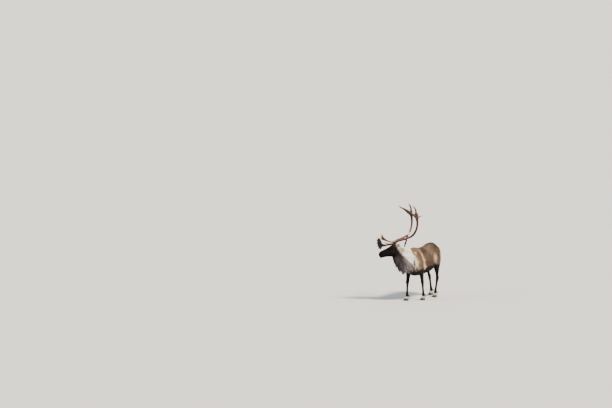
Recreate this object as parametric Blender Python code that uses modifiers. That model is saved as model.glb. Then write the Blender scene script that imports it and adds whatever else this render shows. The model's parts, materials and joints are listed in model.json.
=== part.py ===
"""A bull reindeer at life size, standing in mid stride with its head turned to its right.

Metres, +Z up. The animal faces -Y, so its left side is +X. The floor is z = 0. Every piece of flesh starts
as a loft: rings of a few named sizes, carried along a smooth line. Neighbours are carved clear of each
other by GAP.
"""

import math
import random

import bmesh
import bpy
import numpy as np
from mathutils import Matrix, Vector

GAP = 0.0003

# Trunk: y, top, bottom and half width of each section
TRUNK = (
    (-0.660, 0.960, 0.790, 0.045),
    (-0.630, 1.030, 0.720, 0.098),
    (-0.560, 1.135, 0.640, 0.150),
    (-0.460, 1.190, 0.572, 0.186),
    (-0.350, 1.190, 0.545, 0.205),
    (-0.180, 1.165, 0.545, 0.228),
    (0.000, 1.165, 0.560, 0.242),
    (0.150, 1.185, 0.576, 0.240),
    (0.270, 1.217, 0.602, 0.220),
    (0.380, 1.228, 0.655, 0.192),
    (0.480, 1.205, 0.738, 0.158),
    (0.560, 1.150, 0.832, 0.118),
    (0.605, 1.080, 0.930, 0.070),
)
TRUNK_SIDES = 22
TRUNK_RINGS = 22
BELLY_LEVEL = 0.46
BACK_PINCH = 0.16
TRUNK_SQUARE = 2.25
TORSO_TRIANGLES = 1700

# Shoulder and haunch masses of the left side: z, x, y, half width and half length
SHOULDER = (
    (1.150, 0.070, -0.400, 0.020, 0.040),
    (1.090, 0.095, -0.410, 0.052, 0.095),
    (0.980, 0.122, -0.435, 0.078, 0.135),
    (0.860, 0.140, -0.445, 0.088, 0.150),
    (0.760, 0.150, -0.415, 0.083, 0.135),
    (0.680, 0.153, -0.365, 0.070, 0.102),
    (0.620, 0.153, -0.335, 0.054, 0.072),
    (0.590, 0.153, -0.330, 0.030, 0.040),
)
HAUNCH = (
    (1.180, 0.060, 0.370, 0.030, 0.070),
    (1.110, 0.085, 0.385, 0.078, 0.140),
    (1.000, 0.098, 0.400, 0.102, 0.184),
    (0.880, 0.112, 0.405, 0.102, 0.184),
    (0.780, 0.124, 0.400, 0.090, 0.158),
    (0.700, 0.132, 0.395, 0.074, 0.120),
    (0.650, 0.136, 0.395, 0.060, 0.092),
    (0.620, 0.138, 0.395, 0.034, 0.052),
)
MASS_SIDES = 14
MASS_RINGS = 9

# Legs: where the joints are on each leg, as x, y and z
LEG_JOINTS = {
    "fore_left": (
        (0.153, -0.338, 0.690),
        (0.146, -0.265, 0.405),
        (0.136, -0.205, 0.125),
        (0.136, -0.232, 0.062),
    ),
    "fore_right": (
        (-0.153, -0.345, 0.690),
        (-0.150, -0.415, 0.410),
        (-0.140, -0.452, 0.125),
        (-0.140, -0.486, 0.062),
    ),
    "hind_left": (
        (0.138, 0.385, 0.700),
        (0.140, 0.430, 0.425),
        (0.132, 0.350, 0.128),
        (0.132, 0.320, 0.062),
    ),
    "hind_right": (
        (-0.138, 0.415, 0.700),
        (-0.138, 0.565, 0.445),
        (-0.130, 0.632, 0.132),
        (-0.130, 0.608, 0.062),
    ),
}
# Girth of a leg: how far down each bone the ring lies, half width and half length
FORE_GIRTH = (
    (0.00, 0.052, 0.074),
    (0.30, 0.051, 0.072),
    (0.65, 0.040, 0.053),
    (0.92, 0.035, 0.041),
    (1.00, 0.035, 0.039),
    (1.12, 0.031, 0.035),
    (1.35, 0.024, 0.029),
    (1.70, 0.023, 0.028),
    (1.90, 0.027, 0.033),
    (2.00, 0.029, 0.036),
    (2.50, 0.030, 0.035),
    (3.00, 0.037, 0.042),
)
HIND_GIRTH = (
    (0.00, 0.056, 0.104),
    (0.25, 0.050, 0.086),
    (0.60, 0.036, 0.054),
    (0.85, 0.029, 0.045),
    (1.00, 0.030, 0.047),
    (1.14, 0.028, 0.042),
    (1.35, 0.024, 0.032),
    (1.70, 0.023, 0.029),
    (1.90, 0.027, 0.034),
    (2.00, 0.029, 0.037),
    (2.50, 0.030, 0.036),
    (3.00, 0.037, 0.043),
)
LEG_SIDES = 11
LEG_RINGS = 20
KNEE_SHARE = 1.10

# Feet: two broad claws and two dewclaws on each
CLAW_LENGTH = 0.112
CLAW_WIDTH = 0.048
CLAW_HEIGHT = 0.062
CLAW_SPLAY = math.radians(9)
CLEFT = 0.010
DEWCLAW_LENGTH = 0.052
DEWCLAW_RADIUS = 0.0135

# Head: its own axes run forward, left and up from the poll
POLL = Vector((-0.230, -0.850, 1.280))
HEAD_YAW = math.radians(52)
HEAD_PITCH = math.radians(17)
HEAD_ROLL = math.radians(3)
# Forward place, top, bottom, half width, narrowing of the lower half and of the upper half
HEAD = (
    (-0.085, -0.045, -0.150, 0.036, 0.20, 0.10),
    (-0.060, -0.016, -0.200, 0.062, 0.28, 0.14),
    (-0.010, 0.000, -0.236, 0.078, 0.42, 0.20),
    (0.045, 0.006, -0.248, 0.084, 0.46, 0.16),
    (0.095, 0.004, -0.244, 0.084, 0.46, 0.10),
    (0.145, -0.007, -0.228, 0.075, 0.42, 0.10),
    (0.195, -0.017, -0.211, 0.063, 0.34, 0.16),
    (0.245, -0.024, -0.198, 0.055, 0.26, 0.20),
    (0.295, -0.030, -0.190, 0.052, 0.20, 0.20),
    (0.340, -0.038, -0.186, 0.054, 0.16, 0.16),
    (0.374, -0.050, -0.178, 0.052, 0.14, 0.12),
    (0.396, -0.068, -0.163, 0.044, 0.12, 0.10),
    (0.409, -0.098, -0.136, 0.024, 0.10, 0.10),
)
HEAD_SIDES = 20
HEAD_RINGS = 20
HEAD_TRIANGLES = 1100
WIDEST_LEVEL = 0.56
EYE_PLACE = (0.128, 0.0665, -0.058)
EYE_RADIUS = 0.0195
EAR_ROOT = (-0.030, 0.064, -0.040)
EAR_LENGTH = 0.135
EAR_WIDTH = 0.068
EAR_WALL = 0.0045

# Neck: x, y, z, half width, reach up and reach down
NECK = (
    (0.000, -0.340, 0.900, 0.140, 0.255, 0.250),
    (-0.010, -0.480, 0.925, 0.158, 0.238, 0.262),
    (-0.055, -0.610, 0.975, 0.146, 0.205, 0.255),
    (-0.130, -0.710, 1.040, 0.124, 0.172, 0.222),
    (-0.200, -0.785, 1.105, 0.100, 0.142, 0.178),
    (-0.262, -0.850, 1.160, 0.084, 0.108, 0.120),
)
NECK_SIDES = 20
NECK_RINGS = 14

# Tail: x, y, z, half width and half thickness
TAIL = (
    (0.0, 0.540, 1.115, 0.026, 0.020),
    (0.0, 0.596, 1.090, 0.034, 0.023),
    (0.0, 0.636, 1.030, 0.037, 0.020),
    (0.0, 0.648, 0.968, 0.028, 0.014),
    (0.0, 0.650, 0.918, 0.007, 0.004),
)

# Antlers, in the head's level axes: forward, out and up, then half width and half thickness
BEAM_LOWER = (
    (0.030, 0.036, -0.040, 0.0230, 0.0230),
    (0.020, 0.046, 0.018, 0.0235, 0.0235),
    (-0.004, 0.062, 0.060, 0.0240, 0.0230),
    (-0.060, 0.098, 0.092, 0.0250, 0.0225),
    (-0.150, 0.155, 0.122, 0.0245, 0.0215),
    (-0.250, 0.222, 0.160, 0.0245, 0.0210),
    (-0.330, 0.285, 0.205, 0.0245, 0.0210),
)
BEAM_UPPER = (
    (-0.330, 0.285, 0.205, 0.0245, 0.0210),
    (-0.388, 0.355, 0.282, 0.0240, 0.0205),
    (-0.425, 0.402, 0.380, 0.0230, 0.0200),
    (-0.440, 0.420, 0.478, 0.0235, 0.0195),
    (-0.438, 0.412, 0.575, 0.0310, 0.0180),
    (-0.428, 0.385, 0.650, 0.0490, 0.0150),
    (-0.412, 0.360, 0.705, 0.0570, 0.0125),
)
BEAM_SIDES = 10
BURR = (
    (0.026, 0.040, -0.012, 0.0300, 0.0300),
    (0.022, 0.045, 0.008, 0.0320, 0.0320),
    (0.018, 0.049, 0.022, 0.0255, 0.0255),
)
# The right antler bows back a little more than the left one, by this much at the middle of its height
BOW_DIFFERENCE = -0.012
BOW_HEIGHT = 0.66
# Each tine is a line of forward, out and up, then its width and thickness halved
BROW_STEM = (
    (0.010, 0.050, 0.020, 0.0160, 0.0140),
    (0.090, 0.054, 0.016, 0.0155, 0.0125),
    (0.177, 0.045, 0.001, 0.0160, 0.0105),
    (0.242, 0.030, -0.006, 0.0240, 0.0090),
    (0.300, 0.020, 0.000, 0.0400, 0.0075),
    (0.325, 0.016, 0.010, 0.0360, 0.0065),
)
BROW_PLATE = (
    (0.324, 0.012, -0.092, 0.0110, 0.0034),
    (0.328, 0.013, -0.070, 0.0300, 0.0058),
    (0.330, 0.015, -0.030, 0.0500, 0.0068),
    (0.337, 0.015, 0.020, 0.0540, 0.0070),
    (0.348, 0.013, 0.070, 0.0510, 0.0065),
    (0.358, 0.011, 0.110, 0.0400, 0.0058),
    (0.367, 0.009, 0.150, 0.0240, 0.0050),
    (0.372, 0.008, 0.176, 0.0040, 0.0026),
)
BROW_FINGERS = (
    ((0.335, 0.014, -0.040), (0.366, 0.012, -0.066), (0.386, 0.010, -0.078)),
    ((0.340, 0.014, -0.008), (0.384, 0.012, -0.020), (0.414, 0.010, -0.018)),
    ((0.350, 0.014, 0.030), (0.398, 0.012, 0.038), (0.426, 0.009, 0.058)),
    ((0.358, 0.013, 0.075), (0.396, 0.011, 0.098), (0.412, 0.009, 0.126)),
)
BROW_SPIKE = (
    (0.010, 0.050, 0.020, 0.0160, 0.0140),
    (0.080, 0.062, 0.020, 0.0140, 0.0125),
    (0.150, 0.066, 0.020, 0.0110, 0.0120),
    (0.205, 0.062, 0.040, 0.0090, 0.0100),
    (0.245, 0.056, 0.075, 0.0030, 0.0035),
)
BEZ_STEM = (
    (-0.020, 0.072, 0.066, 0.0160, 0.0170),
    (0.049, 0.092, 0.070, 0.0175, 0.0170),
    (0.122, 0.108, 0.085, 0.0180, 0.0155),
    (0.218, 0.120, 0.120, 0.0235, 0.0120),
    (0.288, 0.124, 0.158, 0.0380, 0.0092),
    (0.325, 0.124, 0.188, 0.0460, 0.0080),
    (0.357, 0.122, 0.218, 0.0350, 0.0062),
)
BEZ_FINGERS = (
    ((0.327, 0.124, 0.165), (0.374, 0.124, 0.168), (0.412, 0.118, 0.188)),
    ((0.342, 0.124, 0.203), (0.390, 0.122, 0.228), (0.418, 0.116, 0.266)),
    ((0.332, 0.124, 0.210), (0.362, 0.120, 0.254), (0.376, 0.114, 0.298)),
    ((0.288, 0.124, 0.183), (0.300, 0.126, 0.228), (0.304, 0.124, 0.268)),
)
CROWN = {
    "front": (
        (-0.412, 0.372, 0.640, 0.0240, 0.0130),
        (-0.350, 0.356, 0.688, 0.0225, 0.0118),
        (-0.280, 0.334, 0.750, 0.0190, 0.0100),
        (-0.196, 0.304, 0.802, 0.0150, 0.0085),
        (-0.112, 0.266, 0.852, 0.0030, 0.0025),
    ),
    "top": (
        (-0.416, 0.368, 0.650, 0.0240, 0.0130),
        (-0.420, 0.356, 0.720, 0.0210, 0.0118),
        (-0.416, 0.340, 0.792, 0.0170, 0.0100),
        (-0.388, 0.318, 0.846, 0.0130, 0.0085),
        (-0.344, 0.294, 0.892, 0.0030, 0.0025),
    ),
    "back": (
        (-0.432, 0.395, 0.610, 0.0170, 0.0110),
        (-0.468, 0.390, 0.632, 0.0150, 0.0100),
        (-0.508, 0.378, 0.645, 0.0120, 0.0085),
        (-0.560, 0.358, 0.682, 0.0030, 0.0025),
    ),
}
REAR_TINE = (
    (-0.320, 0.275, 0.195, 0.0120, 0.0110),
    (-0.350, 0.285, 0.226, 0.0105, 0.0095),
    (-0.372, 0.286, 0.262, 0.0030, 0.0028),
)
# A shred of velvet that hangs from under the right beam, in the same axes
VELVET = (
    (-0.320, 0.272, 0.202, 0.0110, 0.0017),
    (-0.318, 0.272, 0.175, 0.0130, 0.0017),
    (-0.302, 0.273, 0.105, 0.0125, 0.0017),
    (-0.280, 0.269, 0.020, 0.0150, 0.0017),
    (-0.262, 0.267, -0.045, 0.0110, 0.0017),
    (-0.254, 0.269, -0.085, 0.0030, 0.0012),
)

# Mane: rows of locks round the neck, from the throat back, each with how many, how long and how wide
MANE_SEED = 7
MANE_ROWS = (
    (0.90, 7, 0.110, 0.046),
    (0.74, 8, 0.145, 0.056),
    (0.57, 9, 0.160, 0.064),
    (0.40, 9, 0.155, 0.070),
    (0.23, 8, 0.130, 0.070),
)
MANE_SPREAD = math.radians(128)
LOCK_THICKNESS = 0.010
LOCK_SINK = 0.016
LOCK_LIFT = 0.020
LOCK_SIDES = 5
# Along a lock: the way down it, and shares of its width and thickness
LOCK_SHAPE = ((0, 0.75, 1.0), (0.3, 1.0, 1.0), (0.6, 0.88, 0.9), (0.84, 0.55, 0.7), (1, 0.08, 0.2))


def along(rows, count):
    """Reads rows of numbers at evenly spaced places along the smooth curve that their first three make."""
    rows = np.array(rows, float)
    steps = np.linalg.norm(np.diff(rows[:, :3], axis=0), axis=1)
    knots = np.concatenate([[0.0], np.cumsum(steps)])
    slopes = np.gradient(rows, knots, axis=0)
    at = np.linspace(0.0, knots[-1], count)
    first = np.clip(np.searchsorted(knots, at, side="right") - 1, 0, len(knots) - 2)
    span = (knots[first + 1] - knots[first])[:, None]
    u = (at - knots[first])[:, None] / span
    return (
        (1 + 2 * u) * (1 - u) ** 2 * rows[first]
        + u * (1 - u) ** 2 * span * slopes[first]
        + u**2 * (3 - 2 * u) * rows[first + 1]
        + u**2 * (u - 1) * span * slopes[first + 1]
    )


def unit(vectors):
    return vectors / np.linalg.norm(vectors, axis=-1, keepdims=True)


def frames(centres, flat):
    """Two axes across a line of points: the wide one, and the one that stays nearest to the flat axis."""
    ahead = unit(np.gradient(centres, axis=0))
    wide = unit(np.cross(np.broadcast_to(flat, ahead.shape), ahead))
    return wide, np.cross(ahead, wide)


def ring_points(sides, square=2.0):
    """Across and up shares of one ring. A square of 2 is an ellipse, and more is boxier."""
    turn = np.arange(sides) * 2 * math.pi / sides
    across, up = np.cos(turn), np.sin(turn)
    power = 2.0 / square
    return np.sign(across) * np.abs(across) ** power, np.sign(up) * np.abs(up) ** power


def mesh_object(name, points, faces):
    mesh = bpy.data.meshes.new(name)
    mesh.from_pydata([tuple(p) for p in points], [], [tuple(f) for f in faces])
    obj = bpy.data.objects.new(name, mesh)
    making.objects.link(obj)
    return obj


def closed_rings(name, rings):
    """A closed mesh of triangles over rings of points, each end closed on the middle of its ring."""
    count, sides, _ = rings.shape
    i, j = np.meshgrid(np.arange(count - 1), np.arange(sides), indexing="ij")
    a = (i * sides + j).ravel()
    b = (i * sides + (j + 1) % sides).ravel()
    walls = np.concatenate([np.stack([a, b, b + sides], 1), np.stack([a, b + sides, a + sides], 1)])
    points = np.concatenate([rings.reshape(-1, 3), rings[:1].mean(1), rings[-1:].mean(1)])
    edge = np.arange(sides)
    after = (edge + 1) % sides
    low_end, high_end = count * sides, count * sides + 1
    last = (count - 1) * sides
    caps = np.concatenate([
        np.stack([after, edge, np.full(sides, low_end)], 1),
        np.stack([last + edge, last + after, np.full(sides, high_end)], 1),
    ])
    obj = mesh_object(name, points, np.concatenate([walls, caps]))
    face_outwards(obj)
    return obj


def face_outwards(obj):
    work = bmesh.new()
    work.from_mesh(obj.data)
    bmesh.ops.recalc_face_normals(work, faces=work.faces)
    work.to_mesh(obj.data)
    work.free()


def strip(name, rows, flat, sides=8, rings=None, square=2.0):
    """A closed tube along rows of x, y, z, half width and half thickness, flat across the given axis."""
    rows = along(rows, rings or len(rows))
    wide, thick = frames(rows[:, :3], np.array(flat, float))
    across, up = ring_points(sides, square)
    rings_made = (
        rows[:, None, :3]
        + rows[:, 3, None, None] * across[None, :, None] * wide[:, None]
        + rows[:, 4, None, None] * up[None, :, None] * thick[:, None]
    )
    return closed_rings(name, rings_made)


def apply_modifiers(obj):
    graph = bpy.context.evaluated_depsgraph_get()
    made = bpy.data.meshes.new_from_object(obj.evaluated_get(graph))
    obj.modifiers.clear()
    obj.data = made


def boolean(obj, others, operation, solver="EXACT"):
    """Joins the other closed meshes to this one, or cuts them from it, and removes them."""
    group = bpy.data.collections.new("operands")
    bpy.context.scene.collection.children.link(group)
    for other in others:
        group.objects.link(other)
    modifier = obj.modifiers.new("Solid", "BOOLEAN")
    modifier.operation = operation
    modifier.operand_type = "COLLECTION"
    modifier.collection = group
    modifier.solver = solver
    apply_modifiers(obj)
    for other in others:
        bpy.data.objects.remove(other)
    bpy.data.collections.remove(group)
    return obj


def joined(name, pieces, solver="EXACT"):
    first, *others = pieces
    boolean(first, others, "UNION", solver)
    first.name = name
    return first


def swollen(obj):
    """A copy that is a gap larger all round, to carve a neighbour with."""
    twin = obj.copy()
    twin.data = obj.data.copy()
    making.objects.link(twin)
    work = bmesh.new()
    work.from_mesh(twin.data)
    bmesh.ops.triangulate(work, faces=work.faces)
    work.normal_update()
    moves = [v.normal * GAP * min(v.calc_shell_factor(), 2.5) for v in work.verts]
    for vertex, move in zip(work.verts, moves):
        vertex.co += move
    work.to_mesh(twin.data)
    work.free()
    return twin


def without(obj, *neighbours):
    """Carves this piece clear of finished neighbours."""
    boolean(obj, [swollen(other) for other in neighbours], "DIFFERENCE")
    return keep_largest(obj)


def softened(obj, voxel, rounds, triangles):
    """Melts joined pieces into one skin, smooths it and thins it to about this many triangles."""
    remesh = obj.modifiers.new("Skin", "REMESH")
    remesh.mode = "VOXEL"
    remesh.voxel_size = voxel
    smooth = obj.modifiers.new("Smooth", "SMOOTH")
    smooth.factor = 0.5
    smooth.iterations = rounds
    apply_modifiers(obj)
    obj.data.calc_loop_triangles()
    thin = obj.modifiers.new("Thin", "DECIMATE")
    thin.ratio = triangles / len(obj.data.loop_triangles)
    thin.use_collapse_triangulate = True
    apply_modifiers(obj)
    return obj


def keep_largest(obj):
    """Drops the loose scraps that a cut leaves, and fills the hollows that fusing seals."""
    work = bmesh.new()
    work.from_mesh(obj.data)
    bmesh.ops.triangulate(work, faces=work.faces)
    islands = []
    unseen = set(work.faces)
    while unseen:
        island = [unseen.pop()]
        for face in island:
            for edge in face.edges:
                for near in edge.link_faces:
                    if near in unseen:
                        unseen.remove(near)
                        island.append(near)
        islands.append(island)
    best = max(islands, key=lambda island: sum(f.calc_area() for f in island))
    spare = [f for island in islands if island is not best for f in island]
    bmesh.ops.delete(work, geom=spare, context="FACES")
    work.to_mesh(obj.data)
    work.free()
    return obj


def material(name, colour, roughness):
    made = bpy.data.materials.new(name)
    made.use_nodes = True
    shader = made.node_tree.nodes["Principled BSDF"]
    linear = [((c + 0.055) / 1.055) ** 2.4 if c > 0.04045 else c / 12.92 for c in colour]
    shader.inputs["Base Color"].default_value = (*linear, 1.0)
    shader.inputs["Roughness"].default_value = roughness
    shader.inputs["Metallic"].default_value = 0.0
    return made


def finish(obj, name, look):
    """Names a node, gives it its material and shading, and stands it in the animal's frame."""
    obj.name = name
    obj.data.name = name
    obj.data.materials.clear()
    obj.data.materials.append(look)
    obj.data.shade_smooth()
    obj.data.set_sharp_from_angle(angle=math.radians(50))
    making.objects.unlink(obj)
    animal.objects.link(obj)
    obj.parent = stance
    return obj


# Trunk, with the shoulder and haunch masses


def trunk_loft():
    """Sections across Y, widest low down and narrower over the spine."""
    y, top, bottom, half = along([(r[0], 0.0, 0.0, *r[1:]) for r in TRUNK], TRUNK_RINGS).T[[0, 3, 4, 5]]
    level = bottom + BELLY_LEVEL * (top - bottom)
    across, up = ring_points(TRUNK_SIDES, TRUNK_SQUARE)
    reach = np.where(up[None] > 0, (top - level)[:, None], (level - bottom)[:, None])
    narrow = 1 - BACK_PINCH * np.maximum(up, 0) ** 2
    x = half[:, None] * across[None] * narrow[None]
    z = level[:, None] + reach * up[None]
    return closed_rings("trunk", np.stack([x, np.broadcast_to(y[:, None], x.shape), z], 2))


def upright_loft(name, rows, sides):
    """Level rings stacked down a limb: rows of x, y, z, half width and half length."""
    across, ahead = ring_points(sides, 2.1)
    x = rows[:, 0, None] + rows[:, 3, None] * across
    y = rows[:, 1, None] + rows[:, 4, None] * ahead
    z = np.broadcast_to(rows[:, 2, None], x.shape)
    return closed_rings(name, np.stack([x, y, z], 2))


def mass(rows, side, lean):
    """One side's shoulder or haunch, with its low end moved along Y to meet its leg."""
    top, low = rows[0][0], rows[-1][0]
    placed = [
        (side * x, y + lean * ((top - z) / (top - low)) ** 3, z, wide, long)
        for z, x, y, wide, long in rows
    ]
    return upright_loft("mass", along(placed, MASS_RINGS), MASS_SIDES)


def torso_solid():
    pieces = [trunk_loft()]
    for side, shoulder_lean, haunch_lean in ((1, 0.0, 0.0), (-1, -0.010, 0.024)):
        pieces += [mass(SHOULDER, side, shoulder_lean), mass(HAUNCH, side, haunch_lean)]
    return softened(joined("torso", pieces), 0.020, 10, TORSO_TRIANGLES)


# Legs and feet


def leg_rows(leg):
    """Rings down a leg: each girth row lies a share of the way from one joint to the next."""
    joints = np.array(LEG_JOINTS[leg])
    rows = []
    for place, wide, long in FORE_GIRTH if leg.startswith("fore") else HIND_GIRTH:
        bone_number = min(int(place), len(joints) - 2)
        start, end = joints[bone_number : bone_number + 2]
        rows.append((*(start + (place - bone_number) * (end - start)), wide, long))
    return along(rows, LEG_RINGS)


def leg_part(leg, part):
    """The upper or the lower length of one leg, parted just below the knee or the hock."""
    whole = leg_rows(leg)
    knee, fetlock = LEG_JOINTS[leg][1][2], LEG_JOINTS[leg][2][2]
    cut = knee + (KNEE_SHARE - 1) * (fetlock - knee)
    at_cut = np.array([np.interp(-cut, -whole[:, 2], column) for column in whole.T])
    if part == "upper":
        return upright_loft(leg, np.array([*whole[whole[:, 2] > cut + 0.008], at_cut]), LEG_SIDES)
    at_cut[2] -= GAP
    kept = np.array([at_cut, *whole[whole[:, 2] < cut - 0.008]])
    kept[-1, 2] = CLAW_HEIGHT + GAP
    return upright_loft(leg, kept, LEG_SIDES)


CLAW_SIDES = 14
# Rising levels of a claw as shares of its height, with shares of its length and width and a shift back
CLAW_LEVELS = (
    (0.00, 1.00, 1.00, 0.000),
    (0.18, 0.98, 1.03, 0.002),
    (0.55, 0.80, 0.94, 0.013),
    (1.00, 0.56, 0.80, 0.024),
)


def claw(coronet, side):
    """One half of a cloven hoof: flat sole, blunt toe ahead, straight wall along the cleft."""
    turn = np.arange(CLAW_SIDES) * 2 * math.pi / CLAW_SIDES
    across, ahead = np.cos(turn), np.sin(turn)
    bulge = np.where(across > 0, 1.0, 0.32)
    toe = np.where(ahead > 0, 1.0, 0.86)
    half_length = CLAW_LENGTH / 2
    half_width = CLAW_WIDTH / 1.32
    rings = []
    for height, long, wide, back in CLAW_LEVELS:
        out = CLEFT / 2 + half_width * (0.32 + across * bulge * wide)
        forward = half_length * ahead * toe * long - back + 0.012
        turned_out = out * math.cos(CLAW_SPLAY) + forward * math.sin(CLAW_SPLAY)
        turned_forward = forward * math.cos(CLAW_SPLAY) - out * math.sin(CLAW_SPLAY)
        x = coronet[0] + side * turned_out
        y = coronet[1] - turned_forward
        z = np.full(CLAW_SIDES, height * CLAW_HEIGHT)
        rings.append(np.stack([x, y, z], 1))
    return closed_rings("claw", np.array(rings))


def dewclaw(fetlock, side):
    """A blunt horn cone behind the fetlock, pointing down, back and out."""
    x, y, z = fetlock
    rows = (
        (x + side * 0.014, y + 0.020, z - 0.006, DEWCLAW_RADIUS * 0.8, DEWCLAW_RADIUS * 0.7),
        (x + side * 0.021, y + 0.036, z - 0.020, DEWCLAW_RADIUS, DEWCLAW_RADIUS * 0.8),
        (x + side * 0.027, y + 0.046, z - 0.040, DEWCLAW_RADIUS * 0.8, DEWCLAW_RADIUS * 0.6),
        (x + side * 0.031, y + 0.051, z - 0.006 - DEWCLAW_LENGTH, DEWCLAW_RADIUS * 0.3, DEWCLAW_RADIUS * 0.3),
    )
    return strip("dewclaw", rows, (0, 1, 0), sides=6, rings=4)


# Head


def head_axes():
    """The head's matrix: its X runs forward to the nose, its Y to the left and its Z up."""
    level = Matrix.Translation(POLL) @ Matrix.Rotation(-math.pi / 2 - HEAD_YAW, 4, "Z")
    return level, level @ Matrix.Rotation(HEAD_PITCH, 4, "Y") @ Matrix.Rotation(HEAD_ROLL, 4, "X")


def to_world(points, matrix):
    matrix = np.array(matrix)
    return points @ matrix[:3, :3].T + matrix[:3, 3]


def head_sections(rings):
    return along([(r[0], 0.0, 0.0, *r[1:]) for r in HEAD], rings).T[[0, 3, 4, 5, 6, 7]]


def head_loft():
    """Sections across the head's own length, with a narrow jaw and a narrower crown."""
    ahead, top, bottom, half, low_pinch, high_pinch = head_sections(HEAD_RINGS)
    level = bottom + WIDEST_LEVEL * (top - bottom)
    across, up = ring_points(HEAD_SIDES, 2.3)
    reach = np.where(up[None] > 0, (top - level)[:, None], (level - bottom)[:, None])
    narrow = 1 - low_pinch[:, None] * np.maximum(-up, 0) ** 1.5 - high_pinch[:, None] * np.maximum(up, 0) ** 2
    y = half[:, None] * across[None] * narrow
    z = level[:, None] + reach * up[None]
    x = np.broadcast_to(ahead[:, None], y.shape)
    rings = to_world(np.stack([x, y, z], 2).reshape(-1, 3), HEAD_MATRIX)
    return closed_rings("skull", rings.reshape(HEAD_RINGS, HEAD_SIDES, 3))


def head_side(ahead, height):
    """How far from the middle plane the head's side lies at this place on it."""
    at, top, bottom, half, low_pinch, high_pinch = head_sections(80)
    values = [np.interp(ahead, at, column) for column in (top, bottom, half, low_pinch, high_pinch)]
    top, bottom, half, low_pinch, high_pinch = values
    level = bottom + WIDEST_LEVEL * (top - bottom)
    reach = top - level if height > level else level - bottom
    share = min(abs(height - level) / reach, 1.0)
    up = share ** (2.3 / 2.0)
    across = math.sqrt(max(1 - up * up, 0.0)) ** (2 / 2.3)
    pinch = high_pinch * share**2 if height > level else low_pinch * share**1.5
    return half * across * (1 - pinch)


def ball(name, place, radii, turn=(0, 0, 0), segments=14, rings=8):
    """An ellipsoid placed in the head's axes."""
    turned = Matrix.Translation(place)
    for angle, axis in zip(turn, "XYZ"):
        turned = turned @ Matrix.Rotation(angle, 4, axis)
    work = bmesh.new()
    bmesh.ops.create_uvsphere(work, u_segments=segments, v_segments=rings, radius=1.0)
    work.transform(HEAD_MATRIX @ turned @ Matrix.Diagonal((*radii, 1)))
    bmesh.ops.triangulate(work, faces=work.faces)
    mesh = bpy.data.meshes.new(name)
    work.to_mesh(mesh)
    work.free()
    obj = bpy.data.objects.new(name, mesh)
    making.objects.link(obj)
    return obj


def head_strip(name, rows, flat, **more):
    """A strip whose rows are in the head's axes."""
    rows = np.array(rows, float)
    rows[:, :3] = to_world(rows[:, :3], HEAD_MATRIX)
    axis = np.array(HEAD_MATRIX)[:3, :3] @ np.array(flat, float)
    return strip(name, rows, axis, **more)


def lid_rows(side, upper):
    """The rim of one lid: an arc over the eyeball from the inner corner to the outer one."""
    rows = []
    for share in np.linspace(0, 1, 7):
        bend = math.sin(math.pi * share)
        ahead = 0.0215 * math.cos(math.pi * share)
        height = (0.0115 if upper else -0.0100) * bend - 0.0015 + 0.0025 * (share - 0.5)
        out = max(math.sqrt(max((EYE_RADIUS + 0.0010) ** 2 - ahead**2 - height**2, 0.0)), 0.0105)
        place = (EYE_PLACE[0] + ahead, side * (EYE_PLACE[1] + out), EYE_PLACE[2] + height)
        girth = 0.0034 + (0.0022 if upper else 0.0012) * bend
        rows.append((*place, girth, girth))
    return rows


def mouth_rows():
    """The closed mouth, from one corner round the front of the muzzle to the other."""
    rows = []
    for side in (1, -1):
        shares = np.linspace(0, 1, 7)
        places = [(0.288 + 0.116 * share, -0.1440 - 0.004 * math.sin(math.pi * share)) for share in shares]
        half = [(a, side * (head_side(a, h) + 0.0005), h, 0.0026, 0.0022) for a, h in places]
        rows += half if side == 1 else half[::-1]
    rows.insert(len(rows) // 2, (0.4140, 0.0, -0.1430, 0.0026, 0.0022))
    return rows


def head_solid():
    """Skull, brows, cheeks and muzzle pads melted into one, with sockets, lids, nostrils and the mouth."""
    pieces = [head_loft()]
    for side in (1, -1):
        pieces += [
            ball("brow", (0.120, side * 0.056, -0.036), (0.052, 0.026, 0.018), (0, 0.18, side * -0.14)),
            ball("cheek", (0.060, side * 0.052, -0.140), (0.062, 0.029, 0.056)),
            ball("muzzle_pad", (0.360, side * 0.031, -0.108), (0.038, 0.023, 0.036)),
        ]
    pieces.append(ball("chin", (0.360, 0.0, -0.165), (0.040, 0.031, 0.022)))
    pieces.append(ball("forehead", (0.060, 0.0, -0.012), (0.070, 0.052, 0.024)))
    head = softened(joined("head", pieces), 0.006, 4, HEAD_TRIANGLES)
    lids = [
        head_strip("lid", lid_rows(side, upper), (0, 1, 0), sides=5)
        for side in (1, -1)
        for upper in (True, False)
    ]
    boolean(head, lids, "UNION")
    cutters = [head_strip("mouth_line", mouth_rows(), (0, 0, 1), sides=4, rings=15)]
    for side in (1, -1):
        place = mirrored(EYE_PLACE, side)
        cutters.append(ball("socket", place, [EYE_RADIUS + GAP] * 3, segments=14, rings=9))
        cutters.append(nostril(side))
    boolean(head, cutters, "DIFFERENCE")
    return keep_largest(head)


def nostril(side):
    """The comma shaped opening: a hollow that runs back and up from the front corner."""
    rows = (
        (0.404, side * 0.0270, -0.1020, 0.0060, 0.0055),
        (0.396, side * 0.0400, -0.0960, 0.0090, 0.0075),
        (0.383, side * 0.0490, -0.0890, 0.0065, 0.0055),
        (0.370, side * 0.0530, -0.0850, 0.0025, 0.0022),
    )
    return head_strip("nostril", rows, (0, 0, 1), sides=6, rings=6)


def mirrored(place, side):
    return (place[0], side * place[1], place[2])


def eye(side):
    return ball("eye", mirrored(EYE_PLACE, side), (EYE_RADIUS,) * 3, segments=14, rings=9)


EAR_ROWS = 9
EAR_COLUMNS = 8


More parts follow.
